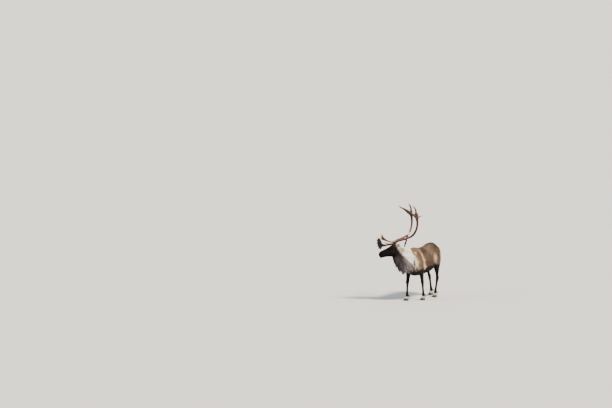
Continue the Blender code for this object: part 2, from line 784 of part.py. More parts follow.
def ear(side):
    """A cupped leaf that leaves the head sideways, back and a little up: a shell that is given its wall."""
    points, faces = [], []
    lean = Vector((-0.42, side * 0.86, 0.24)).normalized()
    opening = Vector((0.70, side * 0.42, -0.10))
    opening = (opening - opening.dot(lean) * lean).normalized()
    sideways = lean.cross(opening)
    for row in range(EAR_ROWS):
        s = row / (EAR_ROWS - 1)
        fullness = 0.40 + 0.60 * math.sin(math.pi * min(s * 0.86 + 0.10, 1.0))
        half = max(EAR_WIDTH / 2 * fullness * (1 - s**4) ** 0.5, 0.004)
        cup = 1.25 - 0.75 * s
        for column in range(EAR_COLUMNS):
            turn = cup * (2 * column / (EAR_COLUMNS - 1) - 1)
            radius = half / math.sin(cup) if cup < math.pi / 2 else half
            across = radius * math.sin(turn)
            deep = radius * (1 - math.cos(turn))
            place = Vector(mirrored(EAR_ROOT, side)) + lean * (EAR_LENGTH * s) + sideways * across
            place += opening * (deep - 0.010 * math.sin(math.pi * s))
            points.append(HEAD_MATRIX @ place)
    for row in range(EAR_ROWS - 1):
        for column in range(EAR_COLUMNS - 1):
            a = row * EAR_COLUMNS + column
            b, c, d = a + 1, a + EAR_COLUMNS + 1, a + EAR_COLUMNS
            faces += [(a, b, c), (a, c, d)]
    obj = mesh_object("ear", points, faces)
    wall = obj.modifiers.new("Wall", "SOLIDIFY")
    wall.thickness = EAR_WALL
    wall.offset = 0.0
    apply_modifiers(obj)
    face_outwards(obj)
    return obj


# Neck and mane


def neck_rings(sides, count):
    rows = along(NECK, count)
    wide, high = frames(rows[:, :3], np.array((0.0, 0.0, 1.0)))
    across, up = ring_points(sides, 2.1)
    reach = np.where(up[None] > 0, rows[:, 4, None], rows[:, 5, None])
    return (
        rows[:, None, :3]
        + (rows[:, 3, None] * across[None])[..., None] * wide[:, None]
        + (reach * up[None])[..., None] * high[:, None]
    )


def neck_core():
    return closed_rings("neck", neck_rings(NECK_SIDES, NECK_RINGS))


def lock(place, turn, length, width):
    """One lock of the mane: it leaves the neck, lies back along it and bends down, flat and tapered."""
    rings = neck_rings(72, 41)
    ring = round(place * 40)
    column = round(72 * (0.75 + turn / (2 * math.pi))) % 72
    root = rings[ring, column]
    middle = rings[ring].mean(axis=0)
    out = unit(root - middle)
    back = unit(rings[ring - 1, column] - rings[ring, column])
    fall = 0.75 * back + np.array((0.0, 0.0, -1.0))
    fall = unit(fall - 0.64 * (fall @ out) * out)
    rows = []
    for share, girth, bulk in LOCK_SHAPE:
        lift = LOCK_LIFT * math.sin(math.pi * min(share * 0.8, 1.0)) - LOCK_SINK * (1 - share) ** 2
        drop = np.array((0.0, 0.0, -0.14)) * length * share**2
        spot = root + fall * length * share + out * lift + drop
        rows.append((*spot, width / 2 * girth, LOCK_THICKNESS / 2 * bulk))
    return strip("lock", rows, out, sides=LOCK_SIDES)


def mane_locks():
    draw = random.Random(MANE_SEED)
    locks = []
    for place, count, length, width in MANE_ROWS:
        for number in range(count):
            turn = MANE_SPREAD * (2 * (number + 0.5 + draw.uniform(-0.2, 0.2)) / count - 1)
            side_share = 1 - 0.35 * abs(turn) / MANE_SPREAD
            own_length = length * side_share * draw.uniform(0.85, 1.15)
            own_place = place + draw.uniform(-0.03, 0.03)
            locks.append(lock(own_place, turn, own_length, width * draw.uniform(0.85, 1.15)))
    return locks


# Antlers


def antler_rows(rows, side):
    """Rows given as forward, out and up become rows in the world, on one side."""
    rows = np.array([[*row, 0.0, 0.0][:5] for row in rows], float)
    if side == -1:
        bow = np.sin(math.pi * np.clip(rows[:, 2] / BOW_HEIGHT, 0.0, 1.0))
        rows[:, 0] += BOW_DIFFERENCE * bow * np.clip(-rows[:, 0] / 0.25, 0.0, 1.0)
    rows[:, 1] *= side
    rows[:, :3] = to_world(rows[:, :3], ANTLER_MATRIX)
    return rows


def bone(name, rows, side, flat=(0, 1, 0), sides=8, rings=8):
    """One length of antler. Its wide axis lies square to the flat one."""
    axis = np.array(ANTLER_MATRIX)[:3, :3] @ np.array((flat[0], side * flat[1], flat[2]), float)
    return strip(name, antler_rows(rows, side), axis, sides=sides, rings=rings)


def beam_lower(side):
    beam = bone("beam", BEAM_LOWER, side, (0, 0, 1), BEAM_SIDES, 13)
    return joined("beam", [beam, bone("burr", BURR, side, (1, 0, 0), BEAM_SIDES, 4)])


def beam_upper(side):
    rows = np.array(BEAM_UPPER)
    rows[0, :3] += GAP * unit(rows[1, :3] - rows[0, :3])
    return bone("beam", rows, side, (0.5, 0.8, 0), BEAM_SIDES, 14)


def blade(rows, fingers, side):
    """A flat plate, wide in the plane that its rows lie in, with blunt fingers along its edge."""
    pieces = [bone("blade", rows, side, (0, 1, 0), 8, 11)]
    for places in fingers:
        girths = ((0.0125, 0.0050), (0.0100, 0.0046), (0.0030, 0.0026))
        line = [(*place, *girth) for place, girth in zip(places, girths)]
        pieces.append(bone("finger", line, side, (0, 1, 0), 6, 4))
    return pieces


def brow(side):
    if side == 1:
        stem = bone("brow", BROW_STEM, side, (0, 1, 0), 8, 9)
        return joined("brow", [stem, *blade(BROW_PLATE, BROW_FINGERS, side)])
    return bone("brow", BROW_SPIKE, side, (0, 1, 0), 8, 8)


for old in list(bpy.data.objects):
    bpy.data.objects.remove(old)
making = bpy.data.collections.new("making")
animal = bpy.data.collections.new("reindeer")
for collection in (making, animal):
    bpy.context.scene.collection.children.link(collection)
stance = bpy.data.objects.new("stance", None)
animal.objects.link(stance)

LEVEL_MATRIX, HEAD_MATRIX = head_axes()
ANTLER_MATRIX = LEVEL_MATRIX @ Matrix.Rotation(HEAD_ROLL, 4, "X")

coat_brown = material("brown coat", (0.43, 0.37, 0.31), 0.9)
coat_dark = material("dark coat", (0.16, 0.13, 0.12), 0.9)
coat_white = material("white mane", (0.88, 0.85, 0.78), 0.9)
horn = material("hoof horn", (0.10, 0.09, 0.08), 0.5)
antler_bone = material("antler bone", (0.45, 0.25, 0.17), 0.55)
velvet = material("shed velvet", (0.20, 0.13, 0.11), 0.9)
eye_dark = material("eye", (0.06, 0.04, 0.03), 0.1)

torso = finish(torso_solid(), "torso", coat_brown)
head = finish(head_solid(), "head", coat_dark)
mane = boolean(neck_core(), mane_locks(), "UNION", "MANIFOLD")
neck = finish(without(keep_largest(mane), torso, head), "neck", coat_white)
finish(without(strip("tail", TAIL, (0, 1, 0), sides=10, rings=9), torso), "tail", coat_white)

for leg, joints in LEG_JOINTS.items():
    finish(without(leg_part(leg, "upper"), torso), f"{leg}_upper", coat_dark)
    lower = finish(leg_part(leg, "lower"), f"{leg}_lower", coat_dark)
    for side, where in ((1, "left"), (-1, "right")):
        finish(claw(joints[3], side), f"{leg}_claw_{where}", horn)
        finish(without(dewclaw(joints[2], side), lower), f"{leg}_dewclaw_{where}", horn)

for side, where in ((1, "left"), (-1, "right")):
    antler = f"antler_{where}"
    finish(eye(side), f"eye_{where}", eye_dark)
    finish(without(ear(side), head, neck), f"ear_{where}", coat_white)
    lower = finish(without(beam_lower(side), head), f"{antler}_beam_lower", antler_bone)
    upper = finish(without(beam_upper(side), lower), f"{antler}_beam_upper", antler_bone)
    brow_tine = finish(without(brow(side), lower, head), f"{antler}_brow", antler_bone)
    bez_tine = joined("bez", blade(BEZ_STEM, BEZ_FINGERS, side))
    finish(without(bez_tine, lower, brow_tine), f"{antler}_bez", antler_bone)
    # Each tine is carved by the uncut length of those before it, whose edges are still blunt
    uncut = []
    for which, rows in CROWN.items():
        tine = without(bone("crown", rows, side, (0.2, 1, 0), 7, 8), upper, *uncut)
        finish(tine, f"{antler}_crown_{which}", antler_bone)
        uncut.append(bone("uncut", rows, side, (0.2, 1, 0), 7, 8))
    for spare in uncut:
        bpy.data.objects.remove(spare)

# After the loop, lower and upper are the right antler's beams
finish(without(bone("rear", REAR_TINE, -1, (0, 1, 0), 7, 6), lower, upper), "antler_right_rear", antler_bone)
finish(without(bone("shred", VELVET, -1, (0, 1, 0), 6, 9), lower, upper), "velvet_strip", velvet)

# The middle of the whole animal's box stands over the origin
bpy.context.view_layer.update()
solids = [obj for obj in animal.objects if obj.type == "MESH"]
corners = np.array([obj.matrix_world @ Vector(c) for obj in solids for c in obj.bound_box])
middle = (corners.min(axis=0) + corners.max(axis=0)) / 2
stance.location = (-middle[0], -middle[1], 0.0)
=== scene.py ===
# %% [markdown]
# # Dressing a bull reindeer
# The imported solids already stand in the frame: trunk, neck, head, legs, hooves, eyes and antlers. This script
# grows one skin in place of the plain flesh, with lids, nostrils and a mouth, sets finer eyes, hooves and
# antlers into it, and then lays a coat of many small solid tufts over it, short on the face and legs and long
# on the neck.

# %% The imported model
import json
import math

import bpy
import numpy as np
from mathutils import Matrix, Vector

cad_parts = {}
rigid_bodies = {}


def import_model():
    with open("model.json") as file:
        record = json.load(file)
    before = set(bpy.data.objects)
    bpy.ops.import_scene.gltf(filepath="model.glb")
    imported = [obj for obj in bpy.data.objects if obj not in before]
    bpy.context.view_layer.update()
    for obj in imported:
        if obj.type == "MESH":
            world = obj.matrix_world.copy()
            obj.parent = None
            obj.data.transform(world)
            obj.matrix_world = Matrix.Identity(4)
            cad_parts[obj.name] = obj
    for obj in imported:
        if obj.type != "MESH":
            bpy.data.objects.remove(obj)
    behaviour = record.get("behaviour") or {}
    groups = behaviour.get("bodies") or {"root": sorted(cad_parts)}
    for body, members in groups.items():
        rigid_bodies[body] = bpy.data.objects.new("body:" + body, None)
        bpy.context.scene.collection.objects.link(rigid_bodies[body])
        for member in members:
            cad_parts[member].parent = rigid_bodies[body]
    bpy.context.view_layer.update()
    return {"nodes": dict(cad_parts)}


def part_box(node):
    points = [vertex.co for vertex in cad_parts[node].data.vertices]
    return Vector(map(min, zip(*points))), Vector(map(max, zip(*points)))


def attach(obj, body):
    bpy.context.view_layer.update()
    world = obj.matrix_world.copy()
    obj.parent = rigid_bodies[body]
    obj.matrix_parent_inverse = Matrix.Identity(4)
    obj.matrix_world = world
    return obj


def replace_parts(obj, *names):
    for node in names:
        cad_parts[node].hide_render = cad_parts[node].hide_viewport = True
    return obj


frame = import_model()
print(len(frame["nodes"]), "solids in the frame")

# %% [markdown]
# ## The animal's own axes
# All sizes below are written in the axes that the animal was drawn in: metres, the floor at zero, the body
# facing -Y. The head has axes of its own, forward, left and up from the poll, because it is turned to the
# right and tipped down. The antlers use the same axes without the tip. The left eyeball tells how far the
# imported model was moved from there.

# %% Head axes and the move to the frame
POLL = np.array((-0.230, -0.850, 1.280))
HEAD_YAW, HEAD_PITCH, HEAD_ROLL = (math.radians(angle) for angle in (52, 17, 3))
EYE_PLACE = np.array((0.128, 0.0665, -0.058))
EYE_RADIUS = 0.0195

level_turn = Matrix.Rotation(-math.pi / 2 - HEAD_YAW, 3, "Z")
HEAD_AXES = np.array(level_turn @ Matrix.Rotation(HEAD_PITCH, 3, "Y") @ Matrix.Rotation(HEAD_ROLL, 3, "X"))
ANTLER_AXES = np.array(level_turn @ Matrix.Rotation(HEAD_ROLL, 3, "X"))


def from_head(points, axes=HEAD_AXES):
    """Points given as forward, left and up: poll + axes times the point."""
    return POLL + np.asarray(points, float) @ axes.T


def to_head(points):
    """The other way: forward, left and up shares of the arrow from the poll to each point."""
    return (points - POLL) @ HEAD_AXES


low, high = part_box("eye_left")
MOVE = np.array((low + high) / 2) - from_head(EYE_PLACE)
print("the frame lies", MOVE.round(4), "from the drawing")

# %% [markdown]
# ## Small tools for surfaces
# A limb, a trunk and a tine are all the same thing: rings of a few named sizes carried along a smooth line.
# The rows of sizes are read at even steps with a cubic curve, so that a dozen rows make a soft form.

# %% Curves, rings and closed shells


def unit(vectors):
    """Each vector divided by its length."""
    return vectors / np.maximum(np.linalg.norm(vectors, axis=-1, keepdims=True), 1e-12)


def dot(a, b):
    """The dot product of each pair of rows."""
    return np.einsum("ij,ij->i", a, b)


def flat_on(arrows, normals):
    """Arrows along the skin: each less (arrow . normal) normal, made one long."""
    return unit(arrows - dot(arrows, normals)[:, None] * normals)


def ease(low, high, value):
    """0 before low, 1 after high, and 3t^2 - 2t^3 between them. Low may be the larger number."""
    t = np.clip((value - low) / (high - low), 0.0, 1.0)
    return t * t * (3.0 - 2.0 * t)


def bump(value, middle, reach):
    """A bell: e to the power of minus the squared distance from the middle, measured in reaches."""
    return np.exp(-(((value - middle) / reach) ** 2))


def along(rows, count):
    """Rows of numbers read at even steps on the cubic curve through them, whose first three are a place."""
    rows = np.array(rows, float)
    knots = np.concatenate([[0.0], np.cumsum(np.linalg.norm(np.diff(rows[:, :3], axis=0), axis=1))])
    slopes = np.gradient(rows, knots, axis=0)
    at = np.linspace(0.0, knots[-1], count)
    first = np.clip(np.searchsorted(knots, at, side="right") - 1, 0, len(knots) - 2)
    span = (knots[first + 1] - knots[first])[:, None]
    u = (at - knots[first])[:, None] / span
    return (
        (1 + 2 * u) * (1 - u) ** 2 * rows[first]
        + u * (1 - u) ** 2 * span * slopes[first]
        + u**2 * (3 - 2 * u) * rows[first + 1]
        + u**2 * (u - 1) * span * slopes[first + 1]
    )


def sections(rows, count):
    """Columns of rows that begin with one place, such as y, read at even steps of it."""
    return np.delete(along([(row[0], 0.0, 0.0, *row[1:]) for row in rows], count).T, (1, 2), axis=0)


def frames(centres, flat):
    """Two axes across a line of points: wide = flat x ahead, and thick = ahead x wide."""
    ahead = unit(np.gradient(centres, axis=0))
    wide = unit(np.cross(np.broadcast_to(flat, ahead.shape), ahead))
    return wide, np.cross(ahead, wide)


def ring_shares(sides, square=2.0):
    """Cosine and sine of even turns, each to the power 2 / square: 2 gives an ellipse, more is boxier."""
    turn = np.arange(sides) * 2 * math.pi / sides
    across, up = np.cos(turn), np.sin(turn)
    return np.sign(across) * np.abs(across) ** (2 / square), np.sign(up) * np.abs(up) ** (2 / square)


def outwards(points, triangles):
    """Turns the triangles round if the volume that they enclose, a sum of a.(b x c) / 6, is negative."""
    a, b, c = (points[triangles[:, k]] for k in range(3))
    volume = np.einsum("ij,ij->", a, np.cross(b, c)) / 6
    return (points, triangles) if volume > 0 else (points, triangles[:, ::-1])


def closed(rings):
    """A closed shell over rings of points: two triangles a cell, and each end closed on its ring's middle."""
    count, sides, _ = rings.shape
    i, j = (grid.ravel() for grid in np.meshgrid(np.arange(count - 1), np.arange(sides), indexing="ij"))
    a, b = i * sides + j, i * sides + (j + 1) % sides
    edge = np.arange(sides)
    after, last, middle = (edge + 1) % sides, (count - 1) * sides, count * sides
    triangles = np.concatenate([
        np.stack([a, b, b + sides], 1),
        np.stack([a, b + sides, a + sides], 1),
        np.stack([after, edge, np.full(sides, middle)], 1),
        np.stack([last + edge, last + after, np.full(sides, middle + 1)], 1),
    ])
    return outwards(np.concatenate([rings.reshape(-1, 3), rings[:1].mean(1), rings[-1:].mean(1)]), triangles)


def tube(rows, wide, thick, sides):
    """Rings of points: centre + half width cos(turn) wide + half thickness sin(turn) thick."""
    across, up = ring_shares(sides)
    return (
        rows[:, None, :3]
        + rows[:, 3, None, None] * across[None, :, None] * wide[:, None]
        + rows[:, 4, None, None] * up[None, :, None] * thick[:, None]
    )


def strip(rows, flat, sides, rings):
    """A closed tube on the curve through a few rows, with its width square to the flat axis."""
    rows = along(rows, rings)
    return closed(tube(rows, *frames(rows[:, :3], np.array(flat, float)), sides))


def ball(place, radii, sides=28, rings=18):
    """An ellipsoid: place + radii times (cos a sin b, sin a sin b, cos b)."""
    turn = np.arange(sides) * 2 * math.pi / sides
    tilt = np.linspace(0.02, math.pi - 0.02, rings)
    shape = np.stack([
        np.cos(turn)[None] * np.sin(tilt)[:, None],
        np.sin(turn)[None] * np.sin(tilt)[:, None],
        np.broadcast_to(np.cos(tilt)[:, None], (rings, sides)),
    ], 2)
    return closed(np.array(place) + shape * np.array(radii))


def together(shells):
    """Several shells as one list of points and one of faces."""
    steps = np.cumsum([0] + [len(points) for points, _ in shells[:-1]])
    return (
        np.concatenate([points for points, _ in shells]),
        np.concatenate([faces + step for (_, faces), step in zip(shells, steps)]),
    )


print("a ball has", len(ball((0, 0, 0), (1, 1, 1))[1]), "triangles")

# %% [markdown]
# ## From arrays to Blender, and back
# One function turns whole arrays into a mesh with its colours and maps. Another melts overlapping shells into
# one skin: Blender's voxel remesh wraps a grid round all of them, and smoothing eases the joins as muscle and
# fat do. What comes back is arrays again, for everything else is worked out with numpy.

# %% Meshes from arrays
scene_objects = bpy.context.scene.collection.objects


def new_mesh(name, points, faces):
    """A mesh from arrays. The faces all have the same number of corners."""
    mesh = bpy.data.meshes.new(name)
    mesh.vertices.add(len(points))
    mesh.vertices.foreach_set("co", np.ascontiguousarray(points, np.float32).ravel())
    mesh.loops.add(faces.size)
    mesh.loops.foreach_set("vertex_index", np.ascontiguousarray(faces, np.int32).ravel())
    mesh.polygons.add(len(faces))
    mesh.polygons.foreach_set("loop_start", np.arange(0, faces.size, faces.shape[1], dtype=np.int32))
    mesh.polygons.foreach_set("use_smooth", np.ones(len(faces), bool))
    mesh.update(calc_edges=True)
    return mesh


def build(name, points, faces, look, slot, colours=None, maps=()):
    """A finished piece: its mesh in the frame's place, point colours, and UV maps given point by point."""
    mesh = new_mesh(name, points + MOVE, faces)
    if colours is not None:
        shades = mesh.color_attributes.new(name="coat", type="FLOAT_COLOR", domain="POINT")
        opaque = np.concatenate([colours, np.ones((len(colours), 1))], 1)
        shades.data.foreach_set("color", np.ascontiguousarray(opaque, np.float32).ravel())
    for map_name, places in maps:
        uv = mesh.uv_layers.new(name=map_name)
        uv.data.foreach_set("uv", np.ascontiguousarray(places[faces.ravel()], np.float32).ravel())
    obj = bpy.data.objects.new(name, mesh)
    scene_objects.link(obj)
    mesh.materials.append(look)
    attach(obj, "root")
    print(name, len(faces), "faces")
    return obj


def fused(shells, voxel, rounds):
    """Shells melted into one skin of small squares, given back as points and four-cornered faces."""
    points, triangles = together(shells)
    raw = bpy.data.objects.new("raw", new_mesh("raw", points, triangles))
    scene_objects.link(raw)
    remesh = raw.modifiers.new("Skin", "REMESH")
    remesh.mode = "VOXEL"
    remesh.voxel_size = voxel
    easing = raw.modifiers.new("Ease", "SMOOTH")
    easing.factor = 0.5
    easing.iterations = rounds
    made = bpy.data.meshes.new_from_object(raw.evaluated_get(bpy.context.evaluated_depsgraph_get()))
    places = np.empty(len(made.vertices) * 3, np.float32)
    made.vertices.foreach_get("co", places)
    corners = np.empty(len(made.loops), np.int32)
    made.loops.foreach_get("vertex_index", corners)
    bpy.data.objects.remove(raw)
    return places.reshape(-1, 3).astype(float), corners.reshape(-1, 4)


def halves(squares):
    """Each four-cornered face as two triangles."""
    return np.concatenate([squares[:, [0, 1, 2]], squares[:, [0, 2, 3]]])


def normals_of(points, triangles):
    """At each point the sum of (b - a) x (c - a) over its triangles, made one long."""
    a, b, c = (points[triangles[:, k]] for k in range(3))
    facing = np.cross(b - a, c - a)
    total = np.stack([
        sum(np.bincount(triangles[:, k], facing[:, axis], len(points)) for k in range(3)) for axis in range(3)
    ], 1)
    return unit(total)


def ripple(points, size, seed, waves=8):
    """Soft noise between about -1 and 1: the mean of sines of wavelength near size in random directions."""
    draw = np.random.default_rng(seed)
    ways = unit(draw.normal(size=(waves, 3))) * (2 * math.pi / size) * draw.uniform(0.7, 1.4, (waves, 1))
    return np.sin(points @ ways.T + draw.uniform(0, 2 * math.pi, waves)).mean(axis=1) * 2.0


# %% [markdown]
# ## Trunk, legs and tail
# A bull in autumn is deep in the chest and carries fat over the loins. Under the coat lie the barrel of the
# ribs, the shoulder blade with its muscle, and the haunch. The numbers are those of the solids, and each
# section is made smaller by the depth of the coat, so that the hair's tips and not the skin reach the
# animal's real outline.

# %% Sections of the trunk, shoulders and haunches
TRUNK = (  # y, top, bottom, half width
    (-0.660, 0.960, 0.790, 0.045), (-0.630, 1.030, 0.720, 0.098), (-0.560, 1.135, 0.640, 0.150),
    (-0.460, 1.190, 0.572, 0.186), (-0.350, 1.190, 0.545, 0.205), (-0.180, 1.165, 0.545, 0.228),
    (0.000, 1.165, 0.560, 0.242), (0.150, 1.185, 0.576, 0.240), (0.270, 1.217, 0.602, 0.220),
    (0.380, 1.228, 0.655, 0.192), (0.480, 1.205, 0.738, 0.158), (0.560, 1.150, 0.832, 0.118),
    (0.605, 1.080, 0.930, 0.070),
)
SHOULDER = (  # z, x, y, half width, half length
    (1.150, 0.070, -0.400, 0.020, 0.040), (1.090, 0.095, -0.410, 0.052, 0.095),
    (0.980, 0.122, -0.435, 0.078, 0.135), (0.860, 0.140, -0.445, 0.088, 0.150),
    (0.760, 0.150, -0.415, 0.083, 0.135), (0.680, 0.153, -0.365, 0.070, 0.102),
    (0.620, 0.153, -0.335, 0.054, 0.072), (0.590, 0.153, -0.330, 0.030, 0.040),
)
HAUNCH = (
    (1.180, 0.060, 0.370, 0.030, 0.070), (1.110, 0.085, 0.385, 0.078, 0.140),
    (1.000, 0.098, 0.400, 0.102, 0.184), (0.880, 0.112, 0.405, 0.102, 0.184),
    (0.780, 0.124, 0.400, 0.090, 0.158), (0.700, 0.132, 0.395, 0.074, 0.120),
    (0.650, 0.136, 0.395, 0.060, 0.092), (0.620, 0.138, 0.395, 0.034, 0.052),
)
COAT_DEPTH = 0.015
BELLY_LEVEL = 0.46
BACK_PINCH = 0.16


def trunk_shell():
    """x = half cos(turn) (1 - pinch sin^2), z = level + reach sin(turn), with the coat's depth taken off."""
    y, top, bottom, half = sections(TRUNK, 60)
    y = y - COAT_DEPTH * np.clip(y / 0.6, -1, 1)
    level = bottom + BELLY_LEVEL * (top - bottom)
    across, up = ring_shares(64, 2.25)
    reach = np.where(up[None] > 0, (top - level)[:, None], (level - bottom)[:, None]) - COAT_DEPTH
    x = (half - COAT_DEPTH)[:, None] * across[None] * (1 - BACK_PINCH * np.maximum(up, 0) ** 2)[None]
    z = level[:, None] + reach * up[None]
    return closed(np.stack([x, np.broadcast_to(y[:, None], x.shape), z], 2))


def limb_shell(rows, sides=36):
    """Level rings: x + half width cos(turn), y + half length sin(turn), at falling heights."""
    across, ahead = ring_shares(sides, 2.1)
    x = rows[:, 0, None] + rows[:, 3, None] * across
    y = rows[:, 1, None] + rows[:, 4, None] * ahead
    return closed(np.stack([x, y, np.broadcast_to(rows[:, 2, None], x.shape)], 2))


def mass_shell(rows, side, lean):
    """One shoulder or haunch, its low end moved along Y with the cube of the way down, to meet its leg."""
    top, foot = rows[0][0], rows[-1][0]
    thin = COAT_DEPTH * 0.9
    placed = [
        (side * x, y + lean * ((top - z) / (top - foot)) ** 3, z, *(max(size - thin, 0.01) for size in sizes))
        for z, x, y, *sizes in rows
    ]
    return limb_shell(along(placed, 30))


# %% [markdown]
# A reindeer's leg is bone and tendon from the knee down. The front of the cannon is round bone, the tendons
# stand behind it with a groove between, and the hock has a sharp point where the Achilles tendon ends. Each
# ring of the leg is an ellipse that a few bells push in or out at the right place and turn.

# %% Legs
LEG_JOINTS = {  # shoulder or hip, knee or hock, fetlock, hoof
    "fore_left": (
        (0.153, -0.338, 0.690), (0.146, -0.265, 0.405), (0.136, -0.205, 0.125), (0.136, -0.232, 0.062),
    ),
    "fore_right": (
        (-0.153, -0.345, 0.690), (-0.150, -0.415, 0.410), (-0.140, -0.452, 0.125), (-0.140, -0.486, 0.062),
    ),
    "hind_left": (
        (0.138, 0.385, 0.700), (0.140, 0.430, 0.425), (0.132, 0.350, 0.128), (0.132, 0.320, 0.062),
    ),
    "hind_right": (
        (-0.138, 0.415, 0.700), (-0.138, 0.565, 0.445), (-0.130, 0.632, 0.132), (-0.130, 0.608, 0.062),
    ),
}
FORE_GIRTH = (  # how far down each bone, half width, half length
    (0.00, 0.052, 0.074), (0.30, 0.051, 0.072), (0.65, 0.040, 0.053), (0.92, 0.035, 0.041),
    (1.00, 0.035, 0.039), (1.12, 0.031, 0.035), (1.35, 0.024, 0.029), (1.70, 0.023, 0.028),
    (1.90, 0.027, 0.033), (2.00, 0.029, 0.036), (2.50, 0.030, 0.035), (3.00, 0.037, 0.042),
)
HIND_GIRTH = (
    (0.00, 0.056, 0.104), (0.25, 0.050, 0.086), (0.60, 0.036, 0.054), (0.85, 0.029, 0.045),
    (1.00, 0.030, 0.047), (1.14, 0.028, 0.042), (1.35, 0.024, 0.032), (1.70, 0.023, 0.029),
    (1.90, 0.027, 0.034), (2.00, 0.029, 0.037), (2.50, 0.030, 0.036), (3.00, 0.037, 0.043),
)
LEG_COAT = (0.010, 0.0045)  # the hair's depth at the top and below the knee or hock


def leg_rows(leg, count):
    """Rows of x, y, z, half width, half length, place: 1 is the knee or hock, 2 the fetlock, 3 the hoof."""
    joints = np.array(LEG_JOINTS[leg])
    rows = []
    for place, wide, long in FORE_GIRTH if leg.startswith("fore") else HIND_GIRTH:
        bone = min(int(place), len(joints) - 2)
        start, end = joints[bone], joints[bone + 1]
        rows.append((*(start + (place - bone) * (end - start)), wide, long, place))
    rows.append((*(joints[-1] - (0, 0, 0.014)), 0.034, 0.038, 3.2))
    return along(rows, count)


def leg_shell(leg):
    """Rings of a leg, with knee or hock, tendon groove and fetlock pushed in or out by bells."""
    rows = leg_rows(leg, 110)
    place = rows[:, 5, None]
    depth = LEG_COAT[0] + (LEG_COAT[1] - LEG_COAT[0]) * ease(0.3, 1.1, rows[:, 5])
    across, back = ring_shares(40, 2.1)
    wide = (rows[:, 3] - depth)[:, None] * across
    long = (rows[:, 4] - depth)[:, None] * back
    cannon = ease(1.15, 1.35, place) * ease(1.95, 1.80, place)
    wide = wide * (1 - 0.20 * cannon * bump(back, 0.35, 0.30) + 0.05 * cannon * bump(back, 0.9, 0.3))
    long = long + 0.003 * bump(place, 2.0, 0.10) * np.maximum(back, 0)
    if leg.startswith("fore"):
        wide = wide * (1 + 0.10 * bump(place, 1.0, 0.09))
        long = long - 0.004 * bump(place, 1.0, 0.10) * np.maximum(-back, 0)
        long = long + 0.005 * bump(place, 0.94, 0.06) * np.maximum(back, 0)
    else:
        long = long + 0.011 * bump(place, 0.95, 0.055) * np.maximum(back, 0) ** 2
        wide = wide * (1 - 0.42 * bump(place, 0.78, 0.16) * ease(0.25, 0.7, back))
        wide = wide * (1 + 0.12 * bump(place, 1.06, 0.08) * bump(back, -0.2, 0.6))
    x = rows[:, 0, None] + wide
    y = rows[:, 1, None] + long
    return closed(np.stack([x, y, np.broadcast_to(rows[:, 2, None], x.shape)], 2))


print("legs:", ", ".join(LEG_JOINTS))

# %% [markdown]
# The neck is thick and set low, so that it seems to grow out of the chest. Only its core is skin here. The
# mane that hangs from it comes later, lock by lock. The tail is a short flap.

# %% Neck and tail
NECK = (  # x, y, z, half width, reach up, reach down
    (0.000, -0.340, 0.900, 0.140, 0.255, 0.250), (-0.010, -0.480, 0.925, 0.158, 0.238, 0.262),
    (-0.055, -0.610, 0.975, 0.146, 0.205, 0.255), (-0.130, -0.710, 1.040, 0.124, 0.172, 0.222),
    (-0.200, -0.785, 1.105, 0.100, 0.142, 0.178), (-0.262, -0.850, 1.160, 0.084, 0.108, 0.120),
)
TAIL = (  # x, y, z, half width, half thickness
    (0.0, 0.540, 1.105, 0.020, 0.014), (0.0, 0.592, 1.080, 0.024, 0.014), (0.0, 0.626, 1.026, 0.024, 0.011),
    (0.0, 0.634, 0.975, 0.016, 0.008), (0.0, 0.636, 0.945, 0.005, 0.003),
)
NECK_COAT = 0.010


def neck_rings(count, sides, inset):
    """Rings across the neck's own line: centre + half cos(turn) wide + reach sin(turn) high."""
    rows = along(NECK, count)
    wide, high = frames(rows[:, :3], np.array((0.0, 0.0, 1.0)))
    across, up = ring_shares(sides, 2.1)
    reach = np.where(up[None] > 0, rows[:, 4, None], rows[:, 5, None]) - inset
    return (
        rows[:, None, :3]
        + ((rows[:, 3, None] - inset) * across[None])[..., None] * wide[:, None]
        + (reach * up[None])[..., None] * high[:, None]
    )


def neck_shell(first, last, fade):
    """Rings first to last of 50. Where the neck goes on in the other skin, its last rings shrink by 8%."""
    rings = neck_rings(50, 60, NECK_COAT)[first:last]
    from_end = np.arange(len(rings))[:, None, None]
    from_end = from_end if first else from_end[::-1]
    middle = rings.mean(axis=1, keepdims=True)
    return closed(middle + (rings - middle) * (0.92 + 0.08 * ease(0, fade, from_end)))


# %% [markdown]
# The trunk with its muscles needs strong easing, so that no shell shows as a separate lump, and the legs need
# little, or their bones melt away. So the trunk is melted first, and once more with the rest.

# %% The skin of the body
TRUNK_VOXEL, BODY_VOXEL = 0.010, 0.0078
HEEL_PAD = (0.019, 0.031, 0.024)

trunk_parts = [trunk_shell()]
for side, fore_lean, hind_lean in ((1, 0.0, 0.0), (-1, -0.010, 0.024)):
    trunk_parts += [mass_shell(SHOULDER, side, fore_lean), mass_shell(HAUNCH, side, hind_lean)]
trunk_points, trunk_faces = fused(trunk_parts, TRUNK_VOXEL, 32)
body_parts = [(trunk_points, halves(trunk_faces)), neck_shell(0, 38, 6), strip(TAIL, (0, 1, 0), 20, 24)]
body_parts += [leg_shell(leg) for leg in LEG_JOINTS]
for *_, (x, y, _) in LEG_JOINTS.values():
    body_parts += [ball((x + side * 0.024, y + 0.014, 0.056), HEEL_PAD) for side in (1, -1)]
body_points, body_faces = fused(body_parts, BODY_VOXEL, 6)
print("body skin:", len(body_points), "points")


